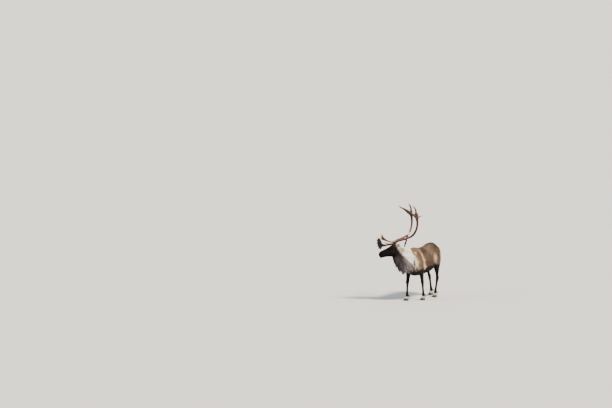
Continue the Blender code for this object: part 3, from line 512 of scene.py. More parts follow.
def body_forms(points, normals):
    """Adds the hollow of the flank, the point of the hip, the elbow and the cleft under the tail."""
    x, y, z = points.T
    ax = np.abs(x)
    out = -0.010 * bump(y, 0.245, 0.075) * bump(z, 1.030, 0.075) * ease(0.10, 0.16, ax)
    out += 0.006 * bump(y, 0.300, 0.050) * bump(z, 1.130, 0.035) * ease(0.06, 0.12, ax)
    out += 0.008 * bump(y, -0.275, 0.050) * bump(z, 0.660, 0.045) * ease(0.10, 0.16, ax)
    blade_edge = 0.016 + 0.05 * ease(0.8, 1.15, z)
    out += 0.006 * bump(y, -0.330, blade_edge) * bump(z, 0.980, 0.150) * ease(0.08, 0.14, ax)
    out -= 0.012 * bump(x, 0.0, 0.014) * ease(0.46, 0.54, y) * ease(1.02, 0.96, z)
    out += 0.0022 * ripple(points, 0.16, 3) * ease(0.62, 0.75, z)
    return points + normals * out[:, None]


body_points = body_forms(body_points, normals_of(body_points, halves(body_faces)))

# %% [markdown]
# ## The head
# A reindeer's head is long and deep, with a broad furred muzzle, a straight nose and a strong jaw angle. The
# skull is carried along its own length as the trunk was, and brow, cheek, muzzle pads and chin are balls
# melted into it. The top of the neck is melted in as well, so that throat and nape run on without a join.

# %% Skull, cheeks and muzzle
HEAD = (  # forward, top, bottom, half width, narrowing below and above
    (-0.085, -0.045, -0.150, 0.036, 0.20, 0.10), (-0.060, -0.016, -0.200, 0.062, 0.28, 0.14),
    (-0.010, 0.000, -0.236, 0.078, 0.42, 0.20), (0.045, 0.006, -0.248, 0.084, 0.46, 0.16),
    (0.095, 0.004, -0.244, 0.084, 0.46, 0.10), (0.145, -0.007, -0.228, 0.075, 0.42, 0.10),
    (0.195, -0.017, -0.211, 0.063, 0.34, 0.16), (0.245, -0.024, -0.198, 0.055, 0.26, 0.20),
    (0.295, -0.030, -0.190, 0.052, 0.20, 0.20), (0.340, -0.038, -0.186, 0.054, 0.16, 0.16),
    (0.374, -0.050, -0.178, 0.052, 0.14, 0.12), (0.396, -0.068, -0.163, 0.044, 0.12, 0.10),
    (0.409, -0.098, -0.136, 0.024, 0.10, 0.10),
)
FACE_COAT = 0.0025
WIDEST_LEVEL = 0.56


def skull_shell():
    """y = half cos(turn) (1 - low pinch - high pinch), z = level + reach sin(turn), along the head."""
    ahead, top, bottom, half, low_pinch, high_pinch = sections(HEAD, 70)
    level = bottom + WIDEST_LEVEL * (top - bottom)
    across, up = ring_shares(64, 2.3)
    reach = np.where(up[None] > 0, (top - level)[:, None], (level - bottom)[:, None]) - FACE_COAT
    narrow = 1 - low_pinch[:, None] * np.maximum(-up, 0) ** 1.5 - high_pinch[:, None] * np.maximum(up, 0) ** 2
    y = (half - FACE_COAT)[:, None] * across[None] * narrow
    x = np.broadcast_to(ahead[:, None] - FACE_COAT * ease(0.3, 0.4, ahead)[:, None], y.shape)
    return closed(np.stack([x, y, level[:, None] + reach * up[None]], 2))


HEAD_VOXEL = 0.0031
head_parts = [
    skull_shell(),
    ball((0.360, 0.0, -0.164), (0.038, 0.029, 0.020)),
    ball((0.060, 0.0, -0.013), (0.068, 0.050, 0.023)),
]
for side in (1, -1):
    head_parts += [
        ball((0.118, side * 0.056, -0.036), (0.050, 0.024, 0.017)),
        ball((0.060, side * 0.051, -0.140), (0.060, 0.027, 0.054)),
        ball((0.360, side * 0.030, -0.108), (0.036, 0.022, 0.034)),
        ball((0.384, side * 0.022, -0.118), (0.024, 0.018, 0.022)),
    ]
head_parts = [(from_head(points), faces) for points, faces in head_parts]
head_points, head_faces = fused([*head_parts, neck_shell(31, 50, 7)], HEAD_VOXEL, 5)
print("head skin:", len(head_points), "points")

# %% [markdown]
# The face is then carved by moving points: sockets for the eyes, the comma shaped nostrils with their rims,
# the line of the mouth between two soft lips, the ridge that runs forward under the eye and the groove of
# the tear gland before it.

# %% Sockets, nostrils, lips and the ridges of the face
NOSTRIL = np.array((  # forward, out, up, radius
    (0.400, 0.0250, -0.1040, 0.0050), (0.393, 0.0380, -0.0970, 0.0085),
    (0.381, 0.0470, -0.0900, 0.0075), (0.366, 0.0520, -0.0855, 0.0030),
))
SOCKET_DEPTH = 0.016


def mouth_height(ahead):
    """Where the lips meet: a line that sags 4 mm between its corner and the front."""
    return -0.1440 - 0.004 * np.sin(math.pi * np.clip((ahead - 0.288) / 0.116, 0, 1))


def face_forms(points, normals):
    """Moves the head's points along their normals by a sum of bells, and the sockets straight inwards."""
    ahead, out_at, up = to_head(points).T
    side = np.sign(out_at)
    wide = np.abs(out_at)
    on_face = ease(0.02, 0.06, ahead)
    path = along(NOSTRIL, 40)
    apart = np.linalg.norm(np.stack([ahead, wide, up], 1)[:, None] - path[None, :, :3], axis=2)
    nearest = apart.argmin(axis=1)
    hole = apart[np.arange(len(apart)), nearest] / path[nearest, 3]
    lift = -0.014 * ease(1.15, 0.45, hole) + 0.0016 * bump(hole, 1.5, 0.35)
    gape = up - mouth_height(ahead)
    lips = ease(0.278, 0.300, ahead)
    seam = -0.0048 * bump(gape, 0, 0.0026)
    lift += lips * (seam + 0.0014 * bump(gape, 0.009, 0.006) + 0.0010 * bump(gape, -0.009, 0.006))
    ridge = bump(up, -0.100 - 0.10 * (ahead - 0.2), 0.008) * ease(0.13, 0.16, ahead) * ease(0.29, 0.24, ahead)
    lift += 0.0030 * on_face * ridge
    lift -= 0.0035 * bump(ahead, 0.170, 0.016) * bump(up, -0.082, 0.007) * ease(0.03, 0.05, wide)
    jaw_edge = bump(np.hypot(ahead - 0.060, up + 0.150), 0.070, 0.014)
    lift += 0.0022 * jaw_edge * ease(0.02, 0.04, wide) * ease(0.0, 0.03, ahead)
    lift -= 0.0020 * bump(ahead, 0.330, 0.022) * bump(up, -0.080, 0.014) * ease(0.03, 0.045, wide)
    lift -= 0.0022 * bump(wide, 0.0, 0.006) * ease(0.375, 0.395, ahead) * ease(-0.145, -0.125, up)
    lift += 0.0005 * ripple(points, 0.012, 5) * ease(0.32, 0.38, ahead) * ease(1.2, 1.8, hole)
    moved = points + normals * lift[:, None]
    eye_reach = np.hypot((ahead - EYE_PLACE[0]) / 0.0235, (up - EYE_PLACE[2]) / 0.0185)
    sunk = SOCKET_DEPTH * ease(1.0, 0.70, eye_reach) * ease(0.03, 0.05, wide)
    return moved - (sunk * side)[:, None] * HEAD_AXES[:, 1]


uncarved_points = head_points
head_points = face_forms(head_points, normals_of(head_points, halves(head_faces)))

# %% [markdown]
# Eyelids are one soft ring: from the margin that touches the eyeball, over the roll of the lid, out to the
# brow and cheek, where it dips under the skin. Going round is one parameter and going outwards the other.

# %% Eyelids
LID_RINGS = (  # reach ahead, reach up, height over the eyeball or face, share of the way to the face
    (1.00, 1.00, -0.0030, 0.00), (0.97, 0.97, 0.0004, 0.00), (1.02, 1.05, 0.0022, 0.00),
    (1.12, 1.28, 0.0028, 0.10), (1.26, 1.60, 0.0016, 0.45), (1.42, 1.95, 0.0012, 0.85),
    (1.60, 2.25, 0.0002, 1.00), (1.78, 2.55, -0.0050, 1.00),
)
LID_ROWS, LID_TURNS = 24, 64
LASH_ROW, LASH_LENGTH, LASH_WIDTH = 3, 0.013, 0.0007


def along_rings(rings, count):
    """More rings between the given ones, each point's line eased as along() eases a row."""
    at = np.linspace(0, len(rings) - 1, count)
    first = np.minimum(at.astype(int), len(rings) - 2)
    u = (at - first)[:, None, None]
    slopes = np.gradient(rings, axis=0)
    return (
        (1 + 2 * u) * (1 - u) ** 2 * rings[first] + u * (1 - u) ** 2 * slopes[first]
        + u**2 * (3 - 2 * u) * rings[first + 1] + u**2 * (u - 1) * slopes[first + 1]
    )


def lids(side):
    """Rings round the eye: ahead 16 mm cos(turn), up 8.5 or 8 mm sin(turn), pushed out on to the eyeball."""
    turn = np.arange(LID_TURNS) * 2 * math.pi / LID_TURNS
    open_up = np.where(np.sin(turn) > 0, 0.0085, 0.0080) * np.sin(turn)
    open_ahead = 0.0160 * np.cos(turn)
    face = to_head(uncarved_points)
    face = face[(face[:, 1] * side > 0.03) & (np.abs(face[:, 0] - EYE_PLACE[0]) < 0.06)]
    rings = []
    for reach_ahead, reach_up, over, share in LID_RINGS:
        ahead = EYE_PLACE[0] + open_ahead * reach_ahead
        up = EYE_PLACE[2] + open_up * reach_up - 0.0012 * np.cos(turn)
        flat = (ahead - EYE_PLACE[0]) ** 2 + (up - EYE_PLACE[2]) ** 2
        on_ball = EYE_PLACE[1] + np.sqrt(np.maximum((EYE_RADIUS + over) ** 2 - flat, 0.006**2))
        apart = np.hypot(face[:, 0][None] - ahead[:, None], face[:, 2][None] - up[:, None])
        near = np.where(apart < 0.004, np.abs(face[:, 1])[None], 0.0).max(axis=1)
        near = (np.roll(near, 1) + near + np.roll(near, -1)) / 3
        clear_of_ball = EYE_PLACE[1] + np.sqrt(np.maximum((EYE_RADIUS + 0.0016) ** 2 - flat, 0))
        out = np.maximum(on_ball * (1 - share) + (near + over) * share, clear_of_ball if over > 0 else 0)
        rings.append(np.stack([ahead, side * out, up], 1))
    rings = along_rings(np.array(rings), LID_ROWS)
    i, j = (grid.ravel() for grid in np.meshgrid(np.arange(LID_ROWS), np.arange(LID_TURNS), indexing="ij"))
    a, b = i * LID_TURNS + j, i * LID_TURNS + (j + 1) % LID_TURNS
    c, d = (a + LID_TURNS) % (LID_ROWS * LID_TURNS), (b + LID_TURNS) % (LID_ROWS * LID_TURNS)
    triangles = np.concatenate([np.stack([a, b, d], 1), np.stack([a, d, c], 1)])
    return outwards(from_head(rings.reshape(-1, 3)), triangles)


lid_shells = [lids(side) for side in (1, -1)]
print("lids:", [len(faces) for _, faces in lid_shells])

# %% [markdown]
# The ears are short and blunt, half hidden in the mane, and stand out sideways and back. An ear is a leaf
# that is curled across: its two parameters are the way up the ear and the turn across it. A wall gives it
# two faces, closed along the rim.

# %% Ears
EAR_ROOT = np.array((-0.030, 0.064, -0.040))
EAR_LENGTH = 0.135
EAR_WIDTH = 0.064
EAR_WALL = 0.0036


def ear_ways(side):
    """The ear's own arrows in the head's axes: up the ear, and out of its opening."""
    return unit(np.array((-0.42, side * 0.86, 0.24))), unit(np.array((0.70, side * 0.42, -0.10)))


def ear_shell(side, rows=34, columns=22):
    """A leaf: root + lean length s + across r sin(turn) + opening r (1 - cos(turn)), half a wall each way."""
    lean, opening = ear_ways(side)
    opening = unit(opening - opening @ lean * lean)
    sideways = np.cross(lean, opening)
    s = np.linspace(0.0, 0.985, rows)[:, None]
    belly = 0.40 + 0.60 * np.sin(math.pi * np.minimum(s * 0.86 + 0.12, 1.0))
    half = EAR_WIDTH / 2 * belly * (1 - s**3) ** 0.65
    cup = 1.25 - 0.75 * s
    turn = cup * np.linspace(-1, 1, columns)[None]
    radius = half / np.sin(cup)
    across, deep = radius * np.sin(turn), radius * (1 - np.cos(turn))
    leaf = (
        EAR_ROOT * (1, side, 1)
        + lean * (EAR_LENGTH * s)[..., None]
        + sideways * across[..., None]
        + opening * (deep - 0.010 * np.sin(math.pi * s))[..., None]
    )
    facing = unit(np.cross(np.gradient(leaf, axis=0), np.gradient(leaf, axis=1)))
    edge = 1 - 0.6 * np.abs(np.linspace(-1, 1, columns))[None, :, None] ** 6
    wall = EAR_WALL / 2 * edge * (1 - 0.5 * s**3)[..., None]
    ring = np.concatenate([leaf + facing * wall, (leaf - facing * wall)[:, ::-1]], 1)
    return closed(from_head(ring.reshape(-1, 3)).reshape(ring.shape))


ear_shells = [ear_shell(side) for side in (1, -1)]
print("ears:", [len(faces) for _, faces in ear_shells])

# %% [markdown]
# ## Where each point of the skin lies
# The colour, length and lie of the hair all depend on where a hair grows: how far along the neck and round
# it, which leg and how far down it, how far forward on the head. These places are worked out once for every
# point of a skin, and hairs inherit them from the triangle that they stand on.

# %% Places on the body
NECK_LINE = along(NECK, 61)[:, :3]
LEG_LINES = {leg: leg_rows(leg, 90) for leg in LEG_JOINTS}


def nearest_on(points, line):
    """Which of the line's points is nearest to each point, and how far it is, in slices to save memory."""
    found, apart = [], []
    for start in range(0, len(points), 20000):
        part = points[start : start + 20000]
        gaps = np.linalg.norm(part[:, None] - line[None], axis=2)
        found.append(gaps.argmin(axis=1))
        apart.append(gaps.min(axis=1))
    return np.concatenate(found), np.concatenate(apart)


def round_neck(points):
    """Against the neck's line: the nearest place on it, its arrow, the arm from it and the turn round it."""
    ring, _ = nearest_on(points, NECK_LINE)
    ahead = unit(np.gradient(NECK_LINE, axis=0))[ring]
    arm = points - NECK_LINE[ring]
    sideways = unit(np.cross(ahead, (0.0, 0.0, 1.0)))
    turn = np.arctan2(dot(arm, sideways), -dot(arm, np.cross(sideways, ahead)))
    return ring / (len(NECK_LINE) - 1), ahead, arm, turn


def skin_of(points, faces):
    """A skin with the fields that the coat needs, one value for each point."""
    triangles = halves(faces) if faces.shape[1] == 4 else faces
    skin = {"points": points, "faces": faces, "triangles": triangles}
    skin["normals"] = normals_of(points, triangles)
    x, y, z = points.T
    skin["neck_at"], ahead, _, skin["neck_turn"] = round_neck(points)
    skin["neck_back"] = -ahead
    skin["neck"] = ease(-0.44, -0.56, y + 0.35 * (z - 0.95)) * ease(0.60, 0.66, z)
    apart = np.full(len(points), 9.0)
    place, behind, inner = np.zeros((3, len(points)))
    for leg, line in LEG_LINES.items():
        at, gap = nearest_on(points, line[:, :3])
        nearer = gap < apart
        apart = np.where(nearer, gap, apart)
        place = np.where(nearer, line[at, 5], place)
        behind = np.where(nearer, (y - line[at, 1]) / line[at, 4], behind)
        side = 1 if leg.endswith("left") else -1
        inner = np.where(nearer, side * (line[at, 0] - x) / line[at, 3], inner)
    skin["leg_at"] = place
    skin["leg_behind"], skin["leg_inner"] = np.clip((behind, inner), -1, 1)
    skin["leg"] = ease(0.115, 0.075, apart) * ease(0.72, 0.58, z)
    skin["head_at"] = to_head(points)
    skin["tail"] = ease(0.585, 0.615, y) * bump(x, 0, 0.035) * ease(0.90, 0.94, z)
    return skin


body = skin_of(body_points, body_faces)
head = skin_of(head_points, head_faces)
print("skins mapped")

# %% [markdown]
# ## Markings
# A bull in September is grey brown on the body, nearly black on face, legs and lower flank, and almost white
# on neck and shoulder. Light tan runs down behind the shoulder and over the thigh, the rump and the tail's
# underside are cream, and a white band sits over each hoof. Some light and shade is painted in as well:
# highlights on the rear edges of shoulder and legs and in part on the pale flank and the cream rump, shade
# on the throat and the front of the neck, and in part on the dark belly and chest. The markings are painted
# by rules of place: each line mixes one more colour in where a bell or a ramp says so, and soft noise frays
# the borders.

# %% Colours of the coat


def shade(hex_code):
    """An sRGB hex colour turned linear: c / 12.92 when dark, else ((c + 0.055) / 1.055)^2.4."""
    srgb = np.array([int(hex_code[k : k + 2], 16) for k in (0, 2, 4)]) / 255
    return np.where(srgb <= 0.04045, srgb / 12.92, ((srgb + 0.055) / 1.055) ** 2.4)


def laid(base, *layers):
    """A base colour, then each layer's colour mixed in by its amount between 0 and 1 at each point."""
    count = len(layers[0][1])
    paint = np.tile(shade(base), (count, 1)) if isinstance(base, str) else base
    for hex_code, amount in layers:
        amount = np.clip(amount, 0, 1)[:, None]
        paint = paint * (1 - amount) + shade(hex_code) * amount
    return paint


def body_paint(skin):
    """Trunk, legs and tail, then the neck's share over them."""
    x, y, z = skin["points"].T
    wide = np.abs(x)
    fray = ripple(skin["points"], 0.07, 11)
    fine = ripple(skin["points"], 0.022, 12)
    z = z + 0.014 * fray + 0.006 * fine
    y = y + 0.014 * ripple(skin["points"], 0.07, 13) + 0.018 * ripple(skin["points"], 0.16, 14)
    mottle = ripple(skin["points"] * (1.0, 1.0, 0.55), 0.10, 15)
    flank = bump(y + 0.25 * (z - 0.89), 0.215, 0.115) * bump(z, 0.900, 0.125) * ease(0.08, 0.14, wide)
    tan_line = y + 0.225 + (z - 0.71) * 0.358
    on_shoulder = ease(0.66, 0.74, z) * ease(1.20, 1.10, z)
    black = 0.755 + 0.045 * ease(-0.08, 0.22, y) - 0.055 * ease(0.22, 0.32, y) - 0.080 * bump(y, -0.28, 0.07)
    rump = ease(0.415, 0.485, y - 0.075 * ease(0.98, 1.12, z) + 0.012 * fine)
    paint = laid(
        "75604f",
        ("8a7766", 0.75 * bump(y, 0.00, 0.17) * ease(0.93, 1.05, z)),  # loins
        ("5f4c3f", 0.7 * ease(0.93, 0.82, z) * ease(0.16, 0.02, y)),  # low flank
        ("4e3c31", 0.9 * bump(y, -0.17, 0.10) * ease(0.98, 1.09, z)),  # saddle
        ("4a382e", 0.9 * bump(y, 0.34, 0.12) * ease(1.05, 1.16, z)),  # top of the rump
        ("5a483c", 0.6 * ease(0.2, 1.0, mottle) * ease(0.84, 0.98, z)),  # mottling
        ("4a3c32", 0.7 * bump(wide, 0, 0.03) * ease(1.02, 1.10, z)),  # spine
        ("6f553f", 0.7 * bump(y, -0.44, 0.09) * ease(1.04, 1.12, z)),  # withers
        # Pale flank: partly its own pale hair, partly a painted highlight on the lit side before the haunch.
        ("dcc4b2", 0.92 * ease(0.15, 0.95, flank + 0.10 * fine)),  # pale flank
        ("97795f", 0.9 * bump(tan_line, -0.075, 0.085) * on_shoulder),  # tan behind the shoulder
        # A painted highlight: this light line is the lit rear edge of the shoulder.
        ("e2c0a6", 0.95 * bump(tan_line, -0.012, 0.040) * on_shoulder),  # its light line
        # Belly: partly its own near black hair, partly painted shade under the body.
        ("110d0c", ease(0.02, -0.03, z - black) * ease(0.45, 0.36, y)),  # belly
        # Cream rump: partly its own pale hair, partly a painted highlight on its lit rear edge.
        ("e0d0ba", 0.95 * rump * ease(0.62, 0.70, z) * ease(1.17, 1.11, z)),  # cream rump
    )
    leg = skin["leg"] * ease(0.68, 0.60, z)
    outer_fore = 0.80 * np.maximum(-skin["leg_inner"], 0) * (y < 0) * ease(1.45, 0.95, skin["leg_at"])
    inner_hind = 0.75 * np.maximum(skin["leg_inner"], 0) * (y > 0) * ease(1.5, 1.0, skin["leg_at"])
    # Pale rear edges: partly the legs' own pale hair, partly a painted highlight where the sun catches them.
    pale_and_lit_edge = ease(0.35, 0.75, skin["leg_behind"] + outer_fore + inner_hind + 0.10 * fine)
    tail_end = ease(0.612, 0.632, skin["points"][:, 1]) * bump(x, 0, 0.014)
    paint = laid(
        paint,
        ("15110f", leg * ease(0.45, 0.15, skin["leg_behind"] - 2 * ease(0.62, 0.56, z))),  # legs
        # In part a painted highlight: the lit rear edges of the legs.
        ("c2b5a2", 0.9 * leg * pale_and_lit_edge * ease(2.1, 1.4, skin["leg_at"])),  # their pale rear edges
        ("ddd5c7", 0.9 * leg * ease(2.58, 2.76, skin["leg_at"] + 0.06 * fine)),  # bands over the hooves
        ("efe8d8", 0.9 * skin["tail"]),
        ("3f352c", 0.8 * skin["tail"] * tail_end),
    )
    share = ease(0.13, 0.19, skin["neck_at"] + 0.02 * fray) * ease(0.60, 0.66, z)
    return lay_mane(paint, skin, share, fray, fine)


def lay_mane(paint, skin, share, fray, fine):
    """White from the ear to the low shoulder, grey as painted shade before it, brown and a pale strand behind.
    """
    at, turn = skin["neck_at"] + 0.025 * fray, np.abs(skin["neck_turn"]) + 0.12 * fray
    z = skin["points"][:, 2] + 0.02 * fray
    front = 1.06 + (at - 0.37) * 2.2
    back = 0.365 + 0.14 * ease(2.2, 2.8, turn) - 0.03 * ease(1.6, 1.1, turn)
    strand = at - 0.268 - 0.085 * ease(1.1, 2.3, turn)
    coat = laid(
        # Grey: painted shade on the front of the neck, whose white hair lies in shadow there.
        "7d7577",
        # Painted shade: the throat darker still towards the head.
        ("40373a", 0.92 * ease(0.50, 0.76, at) * ease(front + 0.1, front - 0.35, turn)),  # dark throat
        ("aba4a3", 0.5 * ease(0.1, 0.9, fine) * ease(0.66, 0.46, at)),  # pale streaks
        # A lighter grey where the painted shade meets the white.
        ("8b807a", ease(front - 0.34, front - 0.10, turn)),  # border of the white
        ("faf7ef", ease(front - 0.08, front + 0.16, turn)),  # white
        ("efe0c0", 0.8 * ease(1.9, 2.5, turn) * ease(0.5, 0.7, at)),  # cream nape
        ("6d5f58", 0.5 * bump(at, 0.80, 0.035) * ease(1.5, 1.9, turn)),  # shade behind the ear
        ("846c57", ease(0.02, -0.02, at - back) * ease(0.7, 1.0, turn)),  # brown shoulder
        ("f2e6d6", 0.95 * bump(strand, 0, 0.032) * ease(2.8, 2.5, turn) * ease(0.95, 1.2, turn)),  # strand
        # Painted shade between the locks, before the pale strand.
        ("4a4141", 0.9 * bump(strand, 0.080, 0.032) * ease(2.1, 1.5, turn)),  # dark gap before it
        # Chest: partly its own near black hair, partly painted shade under the neck.
        ("110d0c", ease(0.845, 0.775, z) * ease(0.56, 0.44, at)),  # chest
    )
    return paint * (1 - share[:, None]) + coat * share[:, None]


def head_paint(skin):
    """Face nearly black, brown on the forehead, grey at the jaw's hinge, cream behind antlers and ears."""
    ahead, out_at, up = skin["head_at"].T
    wide = np.abs(out_at)
    fine = ripple(skin["points"], 0.018, 21)
    fray = ripple(skin["points"], 0.05, 22)
    ahead = ahead + 0.008 * fray
    around_eye = np.hypot((ahead - EYE_PLACE[0]) / 0.032, (up - EYE_PLACE[2]) / 0.025)
    paint = laid(
        "1e1918",
        ("2f2722", 0.8 * ease(-0.06, -0.01, up) * ease(0.16, 0.06, ahead)),  # forehead
        ("2a2423", 0.7 * bump(ahead, 0.08, 0.06) * bump(up, -0.14, 0.06)),  # cheek
        ("121114", 0.8 * ease(0.26, 0.36, ahead)),  # muzzle
        ("3a322e", 0.45 * bump(up, -0.172, 0.012) * ease(0.31, 0.34, ahead)),  # chin
        ("0e0b0b", 0.8 * ease(1.3, 0.9, around_eye) * ease(0.03, 0.05, wide)),  # eye's rim
        ("372f2b", 0.35 * bump(around_eye, 1.7, 0.3) * ease(0.03, 0.05, wide)),  # ring round the eye
        ("332b29", 0.7 * ease(0.08, 0.00, ahead) * ease(-0.12, -0.18, up)),  # jaw's hinge
    )
    return lay_mane(paint * (1 + 0.12 * fine[:, None]), skin, skin["neck"], fray, fine)


ahead, out_at, up = head["head_at"].T
behind_jaw = ease(0.035, -0.030, ahead + 0.25 * np.maximum(-0.10 - up, 0))
under_jaw = ease(-0.236, -0.262, up) * ease(0.17, 0.12, ahead)
head["neck"] = np.maximum(behind_jaw, under_jaw)
head["face"] = 1 - head["neck"]
body["face"] = np.zeros(len(body["points"]))
body["colour"] = body_paint(body)
head["colour"] = head_paint(head)
print("mean body colour", body["colour"].mean(axis=0).round(3))

# %% [markdown]
# ## The lie of the coat
# Hair grows away from the nose, sweeps back over face and neck, runs along the back and slants down the
# sides, and on a leg it points down. A field of arrows says so for every point, is made flat to the skin, and
# a little noise keeps it from looking combed.

# %% Direction, length and thickness of the hair


def blend(fields):
    """A weighted sum: weights times values, divided by the sum of the weights."""
    weights = sum(weight for weight, _ in fields)
    total = sum((weight[:, None] if np.ndim(value) > 1 else weight) * value for weight, value in fields)
    return total / (weights[:, None] if total.ndim > 1 else weights)


def lie_of(skin):
    """Arrows along the skin: each region's own direction, mixed by its share and made flat to the skin."""
    x, y, z = skin["points"].T
    n = len(x)
    side = np.sign(x)
    low = ease(0.85, 0.65, z)
    trunk = np.stack([0.10 * side, np.ones(n), -0.15 - 0.55 * ease(0.04, 0.16, np.abs(x)) * (1 - low)], 1)
    rump = np.stack([0.25 * side, np.full(n, 0.15), np.full(n, -1.0)], 1)
    leg = np.stack([np.zeros(n), np.full(n, 0.12), np.full(n, -1.0)], 1)
    neck = 0.75 * skin["neck_back"] + np.array((0.0, 0.0, -0.95))
    ahead, out_at, up = skin["head_at"].T
    spread, sag = 0.30 * np.sign(out_at) * ease(0.2, 0.3, ahead), -0.25 * ease(-0.05, -0.12, up)
    face = np.stack([np.full(n, -1.0), spread, sag], 1) @ HEAD_AXES.T
    at_rump = ease(0.40, 0.56, y)
    away = skin["face"]
    arrows = blend([
        ((1 - skin["neck"]) * (1 - skin["leg"]) * (1 - at_rump) * (1 - away) + 1e-6, trunk),
        ((1 - skin["leg"]) * at_rump, rump),
        (2.0 * skin["leg"], leg),
        (1.5 * skin["neck"], neck),
        (4.0 * away, face),
    ])
    wild = np.stack([ripple(skin["points"], 0.05, seed) for seed in (31, 32, 33)], 1)
    arrows = unit(arrows) + 0.16 * wild * (1 - 0.6 * away[:, None])
    return flat_on(arrows, skin["normals"])


for skin in (body, head):
    skin["lie"] = lie_of(skin)
print("lie of the coat worked out")

# %% [markdown]
# ## Laying the tufts
# Roots are spread by area: the triangles' areas are summed one after another, and even steps along that sum
# pick the triangles, so that no patch is bare and none is crowded. A tuft is a thin three-sided blade. Its
# middle line leaves the root along the lie, rises, bends and may hang, and near a guide hair it leans towards
# it, as real hair gathers into locks.

# %% Roots and blades
draw = np.random.default_rng(20)
PATCH = 0.003  # a tuft's share of the flat chart
DEEPEST_ROOT = 0.003
LOWEST_HAIR = 0.004


def scatter(skin, density, count):
    """Even steps along the running sum of area times density choose triangles, and random shares the spot."""
    corners = skin["triangles"]
    a, b, c = (skin["points"][corners[:, k]] for k in range(3))
    weight = np.linalg.norm(np.cross(b - a, c - a), axis=1) * density[corners].mean(axis=1)
    total = np.cumsum(weight)
    at = (np.arange(count) + draw.uniform(0, 1, count)) * total[-1] / count
    chosen = np.minimum(np.searchsorted(total, at), len(corners) - 1)
    r, s = np.sqrt(draw.uniform(0, 1, count)), draw.uniform(0, 1, count)
    return corners[chosen], np.stack([1 - r, r * (1 - s), r * s], 1)


def inherit(field, roots):
    """A field's value at each root: the mean of its triangle's corners by the root's shares."""
    corners, shares = roots
    values = field[corners]
    return (values * (shares[..., None] if values.ndim == 3 else shares)).sum(axis=1)


def hair_lines(base, lie, normal, length, rise, droop, shares):
    """c(s) = root + length (s lie + rise (2s - s^2) normal - droop s^2 up + sway s^2 across)."""
    s = np.array(shares)[None, :, None]
    across = np.cross(lie, normal)
    sway = draw.normal(0, 0.10, len(base))[:, None, None]
    return base[:, None] + length[:, None, None] * (
        s * lie[:, None]
        + rise[:, None, None] * (2 * s - s * s) * normal[:, None]
        - droop[:, None, None] * s * s * np.array((0.0, 0.0, 1.0))
        + sway * s * s * across[:, None]
    )


def gathered(lines, guides, amount, shares):
    """Each line leans to its nearest guide: c + amount s^2 (guide - c)."""
    near = np.concatenate([
        np.linalg.norm(part[:, None, 0] - guides[None, :, 0], axis=2).argmin(axis=1)
        for part in np.array_split(lines, max(1, len(lines) // 2000))
    ])
    s = np.array(shares)[None, :, None]
    return lines + amount * s * s * (guides[near] - lines), near


def blade_faces(rows):
    """The triangles of one blade: its root, three sides a row, and three that meet in the tip."""
    faces = [(0, 2, 1)]
    for row in range(rows - 2):
        a = row * 3
        for left, right in ((0, 1), (1, 2), (2, 0)):
            faces += [(a + left, a + right, a + right + 3), (a + left, a + right + 3, a + left + 3)]
    last, tip = (rows - 2) * 3, (rows - 1) * 3
    return np.array([*faces, (last, last + 1, tip), (last + 1, last + 2, tip), (last + 2, last, tip)])


def blades(lines, normal, width, thick, girths):
    """Rows of a left edge, a raised middle and a right edge, closed at the root and run out to one tip."""
    count, rows, _ = lines.shape
    ahead = unit(np.gradient(lines, axis=1))
    across = unit(np.cross(ahead, normal[:, None]))
    above = np.cross(across, ahead)
    girth = np.array(girths)[None, :, None]
    half = width[:, None, None] / 2 * girth * across
    raised = thick[:, None, None] * girth * above
    edges = np.stack([lines - half, lines + raised, lines + half], 2)[:, :-1].reshape(count, -1, 3)
    points = np.concatenate([edges, lines[:, -1:]], 1)
    triangles = blade_faces(rows)[None] + (np.arange(count) * points.shape[1])[:, None, None]
    return points.reshape(-1, 3), triangles.reshape(-1, 3)


def per_row(values):
    """Values given for a line's rows, repeated for its edges and given once for its tip."""
    return np.concatenate([np.repeat(values[:, :-1], 3, axis=1), values[:, -1:]], 1)


SHORT = ((0.0, 0.45, 1.0), (0.70, 1.0, 0.0))
LONG = ((0.0, 0.30, 0.60, 0.84, 1.0), (0.65, 1.0, 0.85, 0.45, 0.0))
MIDDLE = ((0.0, 0.30, 0.68, 1.0), (0.65, 1.0, 0.75, 0.0))


